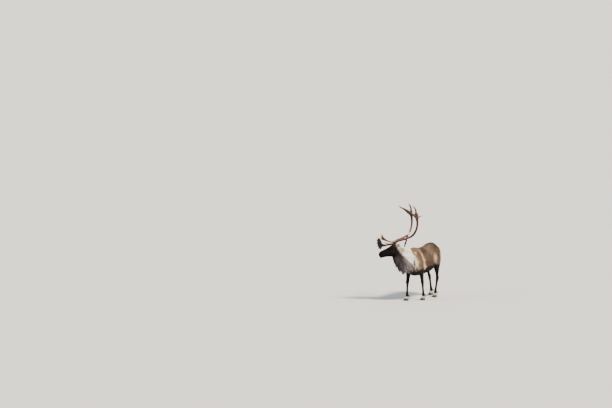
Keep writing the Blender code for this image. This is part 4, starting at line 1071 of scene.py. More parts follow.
def coat(name, skin, density, count, length, width, thick, rise, look, slot, chart,
         shape=SHORT, droop=0.0, guides=0, gather=0.0, light=(0.82, 1.10)):
    """One coat piece: roots, lines, blades, colours from root to tip, and the two maps."""
    shares, girths = shape
    steps = np.array(shares)
    roots = scatter(skin, density, count)
    fields = (np.broadcast_to(field, len(skin["points"])) for field in (length, width, droop))
    length, width, droop = (inherit(field, roots) for field in fields)
    base, normal, lie = (inherit(skin[field], roots) for field in ("points", "normals", "lie"))
    normal = unit(normal)
    lie = flat_on(lie, normal)
    turned = draw.normal(0, 0.12, count)[:, None]
    lie = unit(lie + turned * np.cross(normal, lie))
    length = length * draw.uniform(0.75, 1.2, count)
    rise = rise * draw.uniform(0.55, 1.35, count)
    sunk = np.minimum(0.04 * length, DEEPEST_ROOT)[:, None]
    lines = hair_lines(base - sunk * normal, lie, normal, length, rise, droop, shares)
    clump_shade = np.zeros(count)
    if guides:
        picked = draw.choice(count, guides, replace=False)
        lines, near = gathered(lines, lines[picked], gather, shares)
        clump_shade = draw.normal(0, 0.07, guides)[near]
    width = width * draw.uniform(0.8, 1.25, count)
    points, triangles = blades(lines, normal, width, width * thick, girths)
    points[:, 2] = np.maximum(points[:, 2], LOWEST_HAIR)
    colour = inherit(skin["colour"], roots) * (1 + draw.normal(0, 0.08, count) + clump_shade)[:, None]
    # Painted shade: each tuft is darkest at its root, deep in the coat, and lighter towards its tip.
    tone = light[0] + (light[1] - light[0]) * steps**0.8
    colours = per_row(colour[:, None] * tone[None, :, None]).reshape(-1, 3)
    along_tuft = per_row(np.broadcast_to(steps, (count, len(steps))))
    over = np.broadcast_to(np.append(np.tile((0.0, 0.5, 1.0), len(steps) - 1), 0.5), along_tuft.shape)
    strand = np.stack([over + draw.integers(0, 40, count)[:, None], along_tuft], 2).reshape(-1, 2)
    spot = np.stack([over, along_tuft], 2) - 0.5
    bake = chart(inherit(skin["points"], roots))[:, None] + PATCH * spot
    maps = (("OFBake", np.clip(bake.reshape(-1, 2), 0.001, 0.999)), ("strand", strand))
    return build(name, points, triangles, look, slot, np.clip(colours, 0, 1), maps)


print("a short tuft has", len(blade_faces(len(SHORT[0]))), "triangles")

# %% [markdown]
# Each coat piece has a flat chart of the skin's own shape, for finishes that are painted into an image later:
# the turn round the body and the way along it, never a view from one side. A tuft is a tiny patch on it.

# %% Charts


def wrapped(turn, way):
    """Turn between -pi and pi and a way along between 0 and 1, as a place on a square with a margin."""
    return np.stack([0.02 + 0.96 * (turn / (2 * math.pi) + 0.5), 0.02 + 0.96 * np.clip(way, 0, 1)], 1)


def trunk_chart(points):
    """Turn round the trunk's middle line and the way from chest to rump."""
    return wrapped(np.arctan2(points[:, 0], points[:, 2] - 0.88), (points[:, 1] + 0.72) / 1.40)


def neck_chart(points):
    """Turn round the neck's line and the way along it."""
    at, ahead, arm, turn = round_neck(points)
    return wrapped(turn, (at + dot(arm, ahead) / 0.7 + 0.3) / 1.6)


def head_chart(points):
    """Turn round the head's own length and the way to the nose."""
    ahead, out_at, up = to_head(points).T
    return wrapped(np.arctan2(out_at, up + 0.10), (ahead + 0.25) / 0.68)


def leg_chart(points):
    """Four columns, one a leg, each with the turn round the leg and the height."""
    best, column, turn = np.full(len(points), 9.0), np.zeros(len(points)), np.zeros(len(points))
    for number, line in enumerate(LEG_LINES.values()):
        at, gap = nearest_on(points, line[:, :3])
        nearer = gap < best
        best = np.where(nearer, gap, best)
        column = np.where(nearer, number, column)
        arm = points - line[at, :3]
        turn = np.where(nearer, np.arctan2(arm[:, 0], arm[:, 1]), turn)
    u = (column + 0.04 + 0.92 * (turn / (2 * math.pi) + 0.5)) / 4
    return np.stack([u, 0.02 + 0.96 * np.clip(points[:, 2] / 0.80, 0, 1)], 1)


# %% [markdown]
# ## Materials
# Hair is dull from afar and faintly shiny along its length. Its colour comes from the point colours that the
# markings wrote, and fine lines along each blade, a few tenths of a millimetre apart on a real hair and drawn
# a millimetre apart here, break its light. The skin under it has the same colours with a felted bump.

# %% Helpers and the coat's materials


def node(tree, kind, links=(), **settings):
    """Adds one node: settings go to its own fields or sockets, and links are pairs of socket and source."""
    made = tree.nodes.new(kind)
    for key, value in settings.items():
        if hasattr(made, key):
            setattr(made, key, value)
        else:
            made.inputs[key.replace("_", " ")].default_value = value
    for socket, source in links:
        tree.links.new(source, made.inputs[socket])
    return made


def start(name, roughness, specular=0.5, **fixed):
    """A named material with its shader, whose steady values stand on the shader's own sockets."""
    look = bpy.data.materials.new(name)
    look.use_nodes = True
    tree = look.node_tree
    shader = tree.nodes["Principled BSDF"]
    shader.inputs["Roughness"].default_value = roughness
    shader.inputs["Specular IOR Level"].default_value = specular
    for socket, value in fixed.items():
        shader.inputs[socket.replace("_", " ")].default_value = value
    return look, tree, shader


def textured(name, roughness, specular, noise, tints, relief, uv_map=None, stretch=None, **fixed):
    """One noise tints it and lifts it: between two hex colours, or as a factor on the point colours."""
    look, tree, shader = start(name, roughness, specular, **fixed)
    painted = not isinstance(tints[0], str)
    if painted:
        paint = node(tree, "ShaderNodeVertexColor", layer_name="coat")
    if uv_map:
        place = node(tree, "ShaderNodeUVMap", uv_map=uv_map).outputs["UV"]
    else:
        place = node(tree, "ShaderNodeTexCoord").outputs["Object"]
    if stretch:
        moved = node(tree, "ShaderNodeMapping", [("Vector", place)])
        moved.inputs["Scale"].default_value = stretch
        place = moved.outputs["Vector"]
    grain = node(tree, "ShaderNodeTexNoise", [("Vector", place)], **noise).outputs["Fac"]
    if painted:
        tone = node(tree, "ShaderNodeMapRange", [("Value", grain)], From_Min=0.3, From_Max=0.7)
        tone.inputs["To Min"].default_value, tone.inputs["To Max"].default_value = tints
        factors = [(0, paint.outputs["Color"]), (1, tone.outputs["Result"])]
        colour = node(tree, "ShaderNodeVectorMath", factors, operation="MULTIPLY").outputs["Vector"]
    else:
        tint = node(tree, "ShaderNodeMix", [(0, grain)], data_type="RGBA")
        tint.inputs[6].default_value = (*shade(tints[0]), 1)
        tint.inputs[7].default_value = (*shade(tints[1]), 1)
        colour = tint.outputs[2]
    tree.links.new(colour, shader.inputs["Base Color"])
    if relief:
        lifted = node(tree, "ShaderNodeBump", [("Height", grain)], Strength=relief[0], Distance=relief[1])
        tree.links.new(lifted.outputs["Normal"], shader.inputs["Normal"])
    return look


HAIR_GRAIN = {"Scale": 1.0, "Detail": 3.0}
HAIR_TONES, HAIR_RELIEF, HAIR_STRETCH = (0.78, 1.16), (0.5, 0.0010), (9.0, 0.8, 1.0)
WOOL_TONES = (0.70, 1.10)


def hair(name, roughness, sheen):
    """Hair: the point colour, darker and lighter by fine lines that run along each tuft."""
    return textured(
        name, roughness, 0.14, HAIR_GRAIN, HAIR_TONES, HAIR_RELIEF, "strand", HAIR_STRETCH,
        Sheen_Weight=sheen, Sheen_Roughness=0.5,
    )


def wool(name, grain, strength):
    """The felted undercoat: the same markings, mottled, with a bump as fine as the wool's own clumps."""
    clumps = {"Scale": grain, "Detail": 4.0, "Roughness": 0.65}
    return textured(name, 0.85, 0.2, clumps, WOOL_TONES, (strength, 0.002))


# Guard hairs of trunk and legs, faintly oily.
guard_hair = hair("guard hair", 0.80, 0.05)
# The mane's hair is coarser, cleaner and catches more light.
mane_hair = hair("long white mane hair", 0.72, 0.12)
# The face's hair is short and dull.
face_hair = hair("short face hair", 0.82, 0.0)
# Wool under the guard hairs, in clumps of four millimetres.
undercoat = wool("felted undercoat", 260.0, 0.6)
# The face's skin, seen between its short hairs.
face_skin = wool("short haired face skin", 420.0, 0.4)
print(len(bpy.data.materials), "materials so far")

# %% [markdown]
# ## Skin pieces
# The body's skin stands for trunk, neck, tail and legs, and the head's skin, with lids and ears, for the rest
# of the flesh.

# %% Skin in place of the flesh solids
LEG_NODES = [f"{leg}_{part}" for leg in LEG_JOINTS for part in ("upper", "lower")]
body_skin = build("skin_body", body["points"], body["faces"], undercoat, "brown_coat", body["colour"] * 0.85)
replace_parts(body_skin, "torso", "neck", "tail", *LEG_NODES)

head_skin = build("skin_head", head["points"], head["faces"], face_skin, "dark_coat", head["colour"] * 0.9)
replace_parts(head_skin, "head")

# %% Ears and lids
ears = []
for side, word, shell in zip((1, -1), ("left", "right"), ear_shells):
    ear = skin_of(*shell)
    outward, opening = (HEAD_AXES @ way for way in ear_ways(side))
    normals = ear["normals"]
    way = np.linalg.norm(ear["points"] - from_head(EAR_ROOT * (1, side, 1)), axis=1) / EAR_LENGTH
    inside = ease(-0.1, 0.3, normals @ opening)
    ear["way"], ear["inside"] = way, inside
    ear["colour"] = laid(
        "d6c8ab",
        ("5e5145", 0.7 * inside * ease(0.2, 0.4, way) * ease(0.95, 0.6, way)),  # inside
        ("877559", 0.6 * (1 - inside) * ease(0.5, 0.1, way)),  # root, outside
    )
    ear["lie"] = unit(outward - (normals @ outward)[:, None] * normals + 1e-9)
    piece = build(f"ear_skin_{word}", *shell, undercoat, "pale_coat", ear["colour"] * 0.85)
    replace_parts(piece, f"ear_{word}")
    ears.append(ear)

# Bare dark skin of the lids: fine creases a millimetre apart, slightly moist.
LID_CREASES = {"Scale": 900.0, "Detail": 3.0}
lid_skin = textured("eyelid skin", 0.55, 0.3, LID_CREASES, ("0d0a0a", "1e1817"), (0.5, 0.0006))
for word, (points, faces) in zip(("left", "right"), lid_shells):
    build(f"eyelids_{word}", points, faces, lid_skin, "dark_coat")

# %% [markdown]
# ## Eyes
# The eyeball is as wide as the solid's. The cornea bulges a millimetre, and the dark brown iris has the flat,
# level pupil of deer. Its colours are written point by point from the angle to the eye's axis, and a clear
# coat gives the wet shine.

# %% Eyeballs


def eyeball(side, turns=56, rings=44):
    """r(b) = radius + 0.9 mm e^-(b/0.55)^2, where b is the angle from the eye's axis."""
    axis = unit(np.array((0.22, side * 1.0, -0.02)))
    level = unit(np.cross((0, 0, 1), axis))
    above = np.cross(axis, level)
    tilt = np.linspace(0.01, math.pi - 0.01, rings)[:, None]
    turn = (np.arange(turns) * 2 * math.pi / turns)[None]
    reach = EYE_RADIUS + 0.0009 * np.exp(-((tilt / 0.55) ** 2))
    sideways = np.sin(tilt) * np.cos(turn)
    upright = np.sin(tilt) * np.sin(turn)
    shape = axis * np.cos(tilt)[..., None] + level * sideways[..., None] + above * upright[..., None]
    points, faces = closed(from_head(EYE_PLACE * (1, side, 1) + reach[..., None] * shape))
    angle = np.append(np.broadcast_to(tilt, sideways.shape).ravel(), (0.0, math.pi))
    along_eye, up_eye = np.append(sideways.ravel(), (0, 0)), np.append(upright.ravel(), (0, 0))
    streaks = 0.5 + 0.5 * np.sin(40 * np.arctan2(up_eye, along_eye))
    pupil = np.hypot(along_eye / 0.56, up_eye / 0.32)
    paint = laid(
        "17110e",
        ("35200f", ease(0.95, 0.80, angle) * (0.7 + 0.3 * streaks)),  # iris
        ("040406", ease(1.12, 0.92, pupil) * (angle < 1.2)),
    )
    return points, faces, paint


# Wet cornea: smooth, with a clear coat of tear film.
wet_eye, tree, shader = start("wet eye", 0.20, 0.4, Coat_Weight=0.5, Coat_Roughness=0.05, IOR=1.38)
paint = node(tree, "ShaderNodeVertexColor", layer_name="coat")
tree.links.new(paint.outputs["Color"], shader.inputs["Base Color"])
for side, word in ((1, "left"), (-1, "right")):
    points, faces, paint = eyeball(side)
    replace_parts(build(f"eyeball_{word}", points, faces, wet_eye, "eye", paint), f"eye_{word}")

# %% [markdown]
# ## Hooves
# Reindeer claws are broad, nearly as wide as long, and curve in at the toe. The horn grows down from the
# coronet in rings. A claw is one surface: the height is one parameter and the turn round it the other, and
# rings half a millimetre deep ripple it. The dewclaws hang behind and reach almost to the ground.

# %% Claws and dewclaws
CLAW_LENGTH, CLAW_WIDTH, CLAW_HEIGHT, CLEFT = 0.112, 0.048, 0.062, 0.010
CLAW_SPLAY = math.radians(9)
CLAW_LEVELS = np.array((  # height share, length share, width share, shift back
    (0.00, 1.00, 1.00, 0.000), (0.18, 0.98, 1.03, 0.002), (0.55, 0.80, 0.94, 0.013),
    (1.00, 0.56, 0.80, 0.024),
))


def claw(coronet, side, levels=26, turns=52):
    """Flat sole, blunt toe, straight wall at the cleft: out = cleft + half (0.32 + cos), ahead = sin."""
    height = np.linspace(0, 1, levels)[:, None]
    long, wide, back = (np.interp(height, CLAW_LEVELS[:, 0], CLAW_LEVELS[:, k]) for k in (1, 2, 3))
    turn = (np.arange(turns) * 2 * math.pi / turns)[None]
    across, ahead = np.cos(turn), np.sin(turn)
    bulge = np.where(across > 0, 1.0, 0.32)
    toe = np.where(ahead > 0, 1.0, 0.86)
    ring_step = 1 - 0.010 * (0.5 + 0.5 * np.sin(height * 46)) * ease(0.02, 0.10, height)
    half = CLAW_WIDTH / 1.32
    out = CLEFT / 2 + half * (0.32 + across * bulge * wide * ring_step)
    forward = CLAW_LENGTH / 2 * ahead * toe * long * ring_step - back + 0.012
    x = coronet[0] + side * (out * math.cos(CLAW_SPLAY) + forward * math.sin(CLAW_SPLAY))
    y = coronet[1] - (forward * math.cos(CLAW_SPLAY) - out * math.sin(CLAW_SPLAY))
    return closed(np.stack([x, y, height * CLAW_HEIGHT * (0.70 + 0.30 * ahead)], 2))


DEWCLAW = (  # out, back, down, half width, half thickness
    (0.014, 0.020, 0.006, 0.0105, 0.0092), (0.021, 0.036, 0.020, 0.0132, 0.0106),
    (0.027, 0.046, 0.040, 0.0108, 0.0080), (0.031, 0.051, 0.057, 0.0040, 0.0036),
)


def dewclaw(fetlock, side):
    """A blunt cone of horn that points down, back and out."""
    x, y, z = fetlock
    rows = [(x + side * out, y + back, z - down, *half) for out, back, down, *half in DEWCLAW]
    return strip(rows, (0, 1, 0), 22, 16)


# Hoof horn: keratin, near black, greyer in its growth rings, worn dull at the ground.
HORN_GRAIN, HORN_STRETCH = {"Scale": 1.0, "Detail": 3.0}, (60.0, 60.0, 520.0)
horn = textured("hoof horn", 0.5, 0.5, HORN_GRAIN, ("14110f", "4d453c"), (0.4, 0.001), stretch=HORN_STRETCH)
for leg, joints in LEG_JOINTS.items():
    for side, word in ((1, "left"), (-1, "right")):
        piece = build(f"hoof_{leg}_{word}", *claw(joints[3], side), horn, "hoof_horn")
        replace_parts(piece, f"{leg}_claw_{word}")
        piece = build(f"dewhoof_{leg}_{word}", *dewclaw(joints[2], side), horn, "hoof_horn")
        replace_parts(piece, f"{leg}_dewclaw_{word}")

# %% [markdown]
# ## Antlers
# Bone that has just lost its velvet is stained red brown by dried blood, worn pale by rubbing at the tips and
# in patches, and grooved where the vessels lay. Its upward faces carry painted highlights, and the brow plate
# and the right palm painted shade. Each antler is drawn as tubes and flat blades along smooth lines, melted
# into one piece so that the forks flow, and then grooved along its length by a wave that follows the nearest
# line.

# %% Lines of the antlers: forward, out, up, half width, half thickness
BEAM = (
    (0.030, 0.036, -0.040, 0.0230, 0.0230), (0.020, 0.046, 0.018, 0.0235, 0.0235),
    (-0.004, 0.062, 0.060, 0.0240, 0.0230), (-0.060, 0.098, 0.092, 0.0250, 0.0225),
    (-0.150, 0.155, 0.122, 0.0245, 0.0215), (-0.250, 0.222, 0.160, 0.0245, 0.0210),
    (-0.330, 0.285, 0.205, 0.0245, 0.0210), (-0.388, 0.355, 0.282, 0.0240, 0.0205),
    (-0.425, 0.402, 0.380, 0.0230, 0.0200), (-0.440, 0.420, 0.478, 0.0235, 0.0195),
    (-0.438, 0.412, 0.575, 0.0310, 0.0180), (-0.428, 0.385, 0.650, 0.0490, 0.0150),
    (-0.412, 0.360, 0.700, 0.0560, 0.0125),
)
BURR = (
    (0.026, 0.040, -0.012, 0.0280, 0.0280), (0.022, 0.045, 0.006, 0.0315, 0.0315),
    (0.018, 0.049, 0.022, 0.0250, 0.0250),
)
BOW_DIFFERENCE, BOW_HEIGHT = -0.012, 0.66
BROW_STEM = (
    (0.010, 0.050, 0.020, 0.0160, 0.0140), (0.090, 0.054, 0.016, 0.0155, 0.0125),
    (0.177, 0.045, 0.001, 0.0160, 0.0105), (0.242, 0.030, -0.006, 0.0240, 0.0090),
    (0.300, 0.020, 0.000, 0.0400, 0.0075), (0.325, 0.016, 0.010, 0.0360, 0.0065),
)
BROW_PLATE = (
    (0.324, 0.012, -0.092, 0.0110, 0.0034), (0.328, 0.013, -0.070, 0.0300, 0.0058),
    (0.330, 0.015, -0.030, 0.0500, 0.0068), (0.337, 0.015, 0.020, 0.0540, 0.0070),
    (0.348, 0.013, 0.070, 0.0510, 0.0065), (0.358, 0.011, 0.110, 0.0400, 0.0058),
    (0.367, 0.009, 0.150, 0.0240, 0.0050), (0.372, 0.008, 0.176, 0.0040, 0.0026),
)
BROW_FINGERS = (
    ((0.335, 0.014, -0.040), (0.366, 0.012, -0.066), (0.386, 0.010, -0.078)),
    ((0.340, 0.014, -0.008), (0.384, 0.012, -0.020), (0.414, 0.010, -0.018)),
    ((0.350, 0.014, 0.030), (0.398, 0.012, 0.038), (0.426, 0.009, 0.058)),
    ((0.358, 0.013, 0.075), (0.396, 0.011, 0.098), (0.412, 0.009, 0.126)),
)
BROW_SPIKE = (
    (0.010, 0.050, 0.020, 0.0160, 0.0140), (0.080, 0.062, 0.020, 0.0140, 0.0125),
    (0.150, 0.066, 0.020, 0.0110, 0.0120), (0.205, 0.062, 0.040, 0.0090, 0.0100),
    (0.245, 0.056, 0.075, 0.0030, 0.0035),
)
BEZ_STEM = (
    (-0.020, 0.072, 0.066, 0.0160, 0.0170), (0.049, 0.092, 0.070, 0.0175, 0.0170),
    (0.122, 0.108, 0.085, 0.0180, 0.0155), (0.218, 0.120, 0.120, 0.0235, 0.0120),
    (0.288, 0.124, 0.158, 0.0380, 0.0092), (0.325, 0.124, 0.188, 0.0460, 0.0080),
    (0.357, 0.122, 0.218, 0.0350, 0.0062),
)
BEZ_FINGERS = (
    ((0.327, 0.124, 0.165), (0.374, 0.124, 0.168), (0.412, 0.118, 0.188)),
    ((0.342, 0.124, 0.203), (0.390, 0.122, 0.228), (0.418, 0.116, 0.266)),
    ((0.332, 0.124, 0.210), (0.362, 0.120, 0.254), (0.376, 0.114, 0.298)),
    ((0.288, 0.124, 0.183), (0.300, 0.126, 0.228), (0.304, 0.124, 0.268)),
)
CROWN = (
    (
        (-0.412, 0.372, 0.640, 0.0240, 0.0130), (-0.350, 0.356, 0.688, 0.0225, 0.0118),
        (-0.280, 0.334, 0.750, 0.0190, 0.0100), (-0.196, 0.304, 0.802, 0.0150, 0.0085),
        (-0.112, 0.266, 0.852, 0.0030, 0.0025),
    ),
    (
        (-0.416, 0.368, 0.650, 0.0240, 0.0130), (-0.420, 0.356, 0.720, 0.0210, 0.0118),
        (-0.416, 0.340, 0.792, 0.0170, 0.0100), (-0.388, 0.318, 0.846, 0.0130, 0.0085),
        (-0.344, 0.294, 0.892, 0.0030, 0.0025),
    ),
    (
        (-0.432, 0.395, 0.610, 0.0170, 0.0110), (-0.468, 0.390, 0.632, 0.0150, 0.0100),
        (-0.508, 0.378, 0.645, 0.0120, 0.0085), (-0.560, 0.358, 0.682, 0.0030, 0.0025),
    ),
)
REAR_TINE = (
    (-0.320, 0.275, 0.195, 0.0120, 0.0110), (-0.350, 0.285, 0.226, 0.0105, 0.0095),
    (-0.372, 0.286, 0.262, 0.0030, 0.0028),
)
FINGER_GIRTHS = ((0.0125, 0.0050), (0.0100, 0.0046), (0.0030, 0.0026))
ANTLER_VOXEL = 0.0031
GROOVE_DEPTH, GROOVE_STEP = 0.0004, 0.011
NO_TIP = 9.0  # added to the way to the tip where a part ends inside another one


def antler_rows(rows, side):
    """Rows in the antler's axes taken to the world. The right beam bows back more at mid height."""
    rows = np.array(rows, float)
    if side == -1:
        bow = np.sin(math.pi * np.clip(rows[:, 2] / BOW_HEIGHT, 0, 1))
        rows[:, 0] += BOW_DIFFERENCE * bow * np.clip(-rows[:, 0] / 0.25, 0, 1)
    rows[:, 1] *= side
    rows[:, :3] = from_head(rows[:, :3], ANTLER_AXES)
    return rows


def fingers(places):
    """Rows of one finger of a blade, each with its girth."""
    return [(*place, *girth) for place, girth in zip(places, FINGER_GIRTHS)]


def antler_parts(side):
    """Each part as its rows, its flat axis and how many rings it has."""
    flat = (0, side, 0)
    parts = [
        (BEAM, None, 90), (BURR, (1, 0, 0), 10), (BEZ_STEM, flat, 40),
        *((rows, (0.2, side, 0), 30) for rows in CROWN),
        *((fingers(places), flat, 16) for places in BEZ_FINGERS),
    ]
    if side == 1:
        parts += [(BROW_STEM, flat, 40), (BROW_PLATE, flat, 36)]
        parts += [(fingers(places), flat, 16) for places in BROW_FINGERS]
    else:
        parts += [(BROW_SPIKE, flat, 30), (REAR_TINE, flat, 14)]
    return parts


def beam_shell(side):
    """The beam: its flat axis turns from up at the head to half forward, half out at the top."""
    rows = along(antler_rows(BEAM, side), 120)
    share = ease(0.35, 0.6, np.linspace(0, 1, 120))[:, None]
    lower = ANTLER_AXES @ np.array((0.0, 0.0, 1.0))
    upper = ANTLER_AXES @ unit(np.array((0.5, side * 0.8, 0.0)))
    flat = lower * (1 - share) + upper * share
    return closed(tube(rows, *frames(rows[:, :3], flat), 32))


def antler(side):
    """All parts melted into one, then grooved by 0.4 mm times a sine of the way across the nearest line."""
    shells, lines = [], []
    for rows, flat, rings in antler_parts(side):
        placed = antler_rows(rows, side)
        if flat is None:
            shells.append(beam_shell(side))
        else:
            shells.append(strip(placed, ANTLER_AXES @ np.array(flat, float), 24, rings))
        line = along(placed, rings)
        way = np.linspace(0, 1, rings)
        reach = np.linalg.norm(np.diff(line[:, :3], axis=0), axis=1).sum()
        to_tip = (1 - way) * reach + (NO_TIP if rows in (BEAM, BURR, BEZ_STEM, BROW_STEM) else 0.0)
        lines.append(np.column_stack([line[:, :3], np.gradient(line[:, :3], axis=0), to_tip, way * reach]))
    lines = np.concatenate(lines)
    points, faces = fused(shells, ANTLER_VOXEL, 3)
    at, _ = nearest_on(points, lines[:, :3])
    ahead = unit(lines[at, 3:6])
    normals = normals_of(points, halves(faces))
    level = unit(np.cross(ahead, (0.0, 0.0, 1.0)))
    above = np.cross(level, ahead)
    arm = points - lines[at, :3]
    across, over = dot(arm, level), dot(arm, above)
    wander = 1.5 * ripple(points, 0.09, 41)
    to_tip, from_root = lines[at, 6], lines[at, 7]
    groove = GROOVE_DEPTH * np.sin(across * 2 * math.pi / GROOVE_STEP + wander) * dot(normals, above) ** 2
    groove += GROOVE_DEPTH * np.sin(over * 2 * math.pi / GROOVE_STEP - wander) * dot(normals, level) ** 2
    knobs = 0.0030 * np.maximum(ripple(points, 0.009, 42), 0) * bump(from_root, 0.03, 0.06) * (to_tip > 5)
    points = points + normals * ((groove + knobs) * ease(0.0, 0.05, to_tip))[:, None]
    return points, faces, normals, to_tip, np.stack([(across + over) / 0.11, from_root * 4], 1)


def antler_paint(points, normals, to_tip, side):
    """Red brown, stained and darker at the base, whitish at the tips, with painted highlights and painted
    shade.
    """
    stain = ripple(points, 0.06, 51)
    fine = ripple(points, 0.030, 52)
    ahead, out_at, up = ((points - POLL) @ ANTLER_AXES).T
    out = np.abs(out_at)
    facing_up = ease(0.2, 0.8, normals[:, 2])
    at_burr = np.linalg.norm(np.stack([ahead - 0.025, out - 0.045, up], 1), axis=1)
    bez = ease(0.30, 0.36, ahead) * ease(0.08, 0.11, out) * ease(0.12, 0.16, up)
    # A painted highlight on the upward faces of the bez stem.
    bez_top_highlight = ease(0.02, 0.10, ahead) * ease(0.07, 0.09, out) * facing_up
    # Paler in patches worn by rubbing, and on upward faces as a painted highlight.
    rubbed_and_lit_tops = 0.30 * ease(0.0, 1.2, fine) + 0.55 * ease(0.2, 0.9, normals[:, 2])
    layers = [
        ("24110d", 0.50 + 0.50 * stain),
        ("8e6656", rubbed_and_lit_tops),
        ("d6bca2", 0.8 * ease(0.055, 0.012, to_tip + 0.006 * fine)),  # tips
        ("24120d", 0.8 * ease(0.065, 0.030, at_burr + 0.01 * fine)),  # burr
    ]
    if side == 1:
        # Painted shade: the brow plate in front of the face made near black.
        layers.append(("140b0a", 0.92 * ease(0.25, 0.30, ahead) * ease(0.10, 0.05, out_at)))  # brow plate
    layers += [("f4ebdf", 0.9 * bez * (0.90 + 0.08 * fine)), ("ecd0bd", 0.9 * bez_top_highlight)]
    if side == -1:
        # Painted shade: the right antler's top palm made near black.
        palm = ease(0.54, 0.60, up) * ease(-0.30, -0.40, ahead)
        # A painted highlight on the bend where the rear tine leaves the right beam.
        from_lit_bend = np.linalg.norm(np.stack([ahead + 0.330, out_at + 0.283, up - 0.225], 1), axis=1)
        layers += [("170d0c", 0.9 * palm), ("e6d2b4", 0.8 * bump(from_lit_bend, 0, 0.035))]
    return laid("4c251b", *layers)


# Antler bone: hard and dense, with fine grain along the beam, polished where it was rubbed.
BONE_GRAIN = {"Scale": 1.0, "Detail": 5.0, "Roughness": 0.6}
BONE_TONES, BONE_STRETCH = (0.68, 1.22), (26.0, 6.0, 1.0)
bone = textured("antler bone", 0.48, 0.45, BONE_GRAIN, BONE_TONES, (0.55, 0.001), "grain", BONE_STRETCH)
ANTLER_NODES = ("beam_lower", "beam_upper", "brow", "bez", "crown_front", "crown_top", "crown_back")
for side, word in ((1, "left"), (-1, "right")):
    points, faces, normals, to_tip, grain = antler(side)
    paint = antler_paint(points, normals, to_tip, side)
    piece = build(f"antler_bone_{word}", points, faces, bone, "antler_bone", paint, (("grain", grain),))
    nodes = [f"antler_{word}_{part}" for part in ANTLER_NODES]
    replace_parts(piece, *nodes, *(["antler_right_rear"] if side == -1 else []))

# %% [markdown]
# A last shred of velvet still hangs from under the right beam. It is a thin ragged ribbon of dried skin, so
# it is a strip whose edges waver.

# %% Velvet shred
VELVET = (
    (-0.320, 0.272, 0.202, 0.0140, 0.0017), (-0.318, 0.272, 0.175, 0.0165, 0.0017),
    (-0.302, 0.273, 0.105, 0.0160, 0.0017), (-0.280, 0.269, 0.020, 0.0180, 0.0017),
    (-0.262, 0.267, -0.045, 0.0130, 0.0017), (-0.254, 0.269, -0.085, 0.0034, 0.0012),
)


def velvet_shred():
    """A flat tube whose half width is multiplied by 1 + 0.25 sines of the way down."""
    rows = along(antler_rows(VELVET, -1), 70)
    s = np.linspace(0, 1, 70)
    rows[:, 3] *= 1 + 0.16 * np.sin(31 * s) + 0.12 * np.sin(67 * s + 1)
    wide, thick = frames(rows[:, :3], ANTLER_AXES @ np.array((0.0, -1.0, 0.0)))
    across, _ = ring_shares(20)
    curl = 0.004 * np.sin(9 * s)[:, None, None] * across[None, :, None] ** 2 * thick[:, None]
    return closed(tube(rows, wide, thick, 20) + curl)


# Dried velvet: short brown fuzz over leather stained with blood.
FUZZ = {"Scale": 320.0, "Detail": 5.0}
velvet = textured("dried velvet", 0.9, 0.15, FUZZ, ("1d100d", "4a2a20"), (0.8, 0.001), Sheen_Weight=0.4)
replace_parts(build("velvet_shred", *velvet_shred(), velvet, "shed_velvet"), "velvet_strip")

# %% [markdown]
# ## The coat
# Now the hair. The trunk's coat is 3 to 4 cm long and lies close, so its tufts are small and rise little. On
# the neck the hair is up to 18 cm long, hangs in locks and forms the fringe under the throat. The face and
# legs carry hair of a centimetre or less.

# %% Trunk and belly
x, y, z = body["points"].T
trunk_share = (1 - body["neck"]) * (1 - ease(0.4, 0.9, body["leg"])) * (1 - body["tail"])
chest = ease(-0.30, -0.46, y)
trunk_length = 0.032 + 0.012 * ease(0.66, 0.58, z) + 0.010 * ease(0.50, 0.58, y) + 0.022 * chest
trunk_width = 0.0062 + 0.001 * chest
TRUNK_TUFTS = 18500
for side, word in ((1, "left"), (-1, "right")):
    half_share = trunk_share * (side * x >= 0)
    coat(f"coat_trunk_{word}", body, half_share, TRUNK_TUFTS, trunk_length, trunk_width, 0.22, 0.16,
         guard_hair, "brown_coat", trunk_chart, guides=1800, gather=0.22)

# %% Legs and feet
leg_share = ease(0.15, 0.6, body["leg"])
leg_length = 0.026 - 0.012 * ease(0.3, 1.1, body["leg_at"]) + 0.008 * ease(2.6, 2.9, body["leg_at"])
leg_width = 0.0065 - 0.0022 * ease(0.3, 1.1, body["leg_at"])
for word, share in (("fore", leg_share * (y < 0)), ("hind", leg_share * (y >= 0))):
    coat(f"coat_legs_{word}", body, share, 10500, leg_length, leg_width, 0.25, 0.20,
         guard_hair, "dark_coat", leg_chart)
feet_share = leg_share * ease(2.35, 2.75, body["leg_at"])
coat("coat_feet", body, feet_share, 2600, 0.024, 0.0036, 0.3, 0.22,
     guard_hair, "pale_coat", leg_chart, shape=MIDDLE)

# %% Tail
coat("coat_tail", body, body["tail"], 900, 0.055, 0.008, 0.25, 0.16,
     mane_hair, "pale_coat", trunk_chart, shape=MIDDLE, droop=0.15)

# %% [markdown]
# The mane is laid twice: a dense under layer that hides the skin, and long locks over it that gather to
# guide hairs and hang. They are longest under the throat and on the lower neck and shorter at the nape.

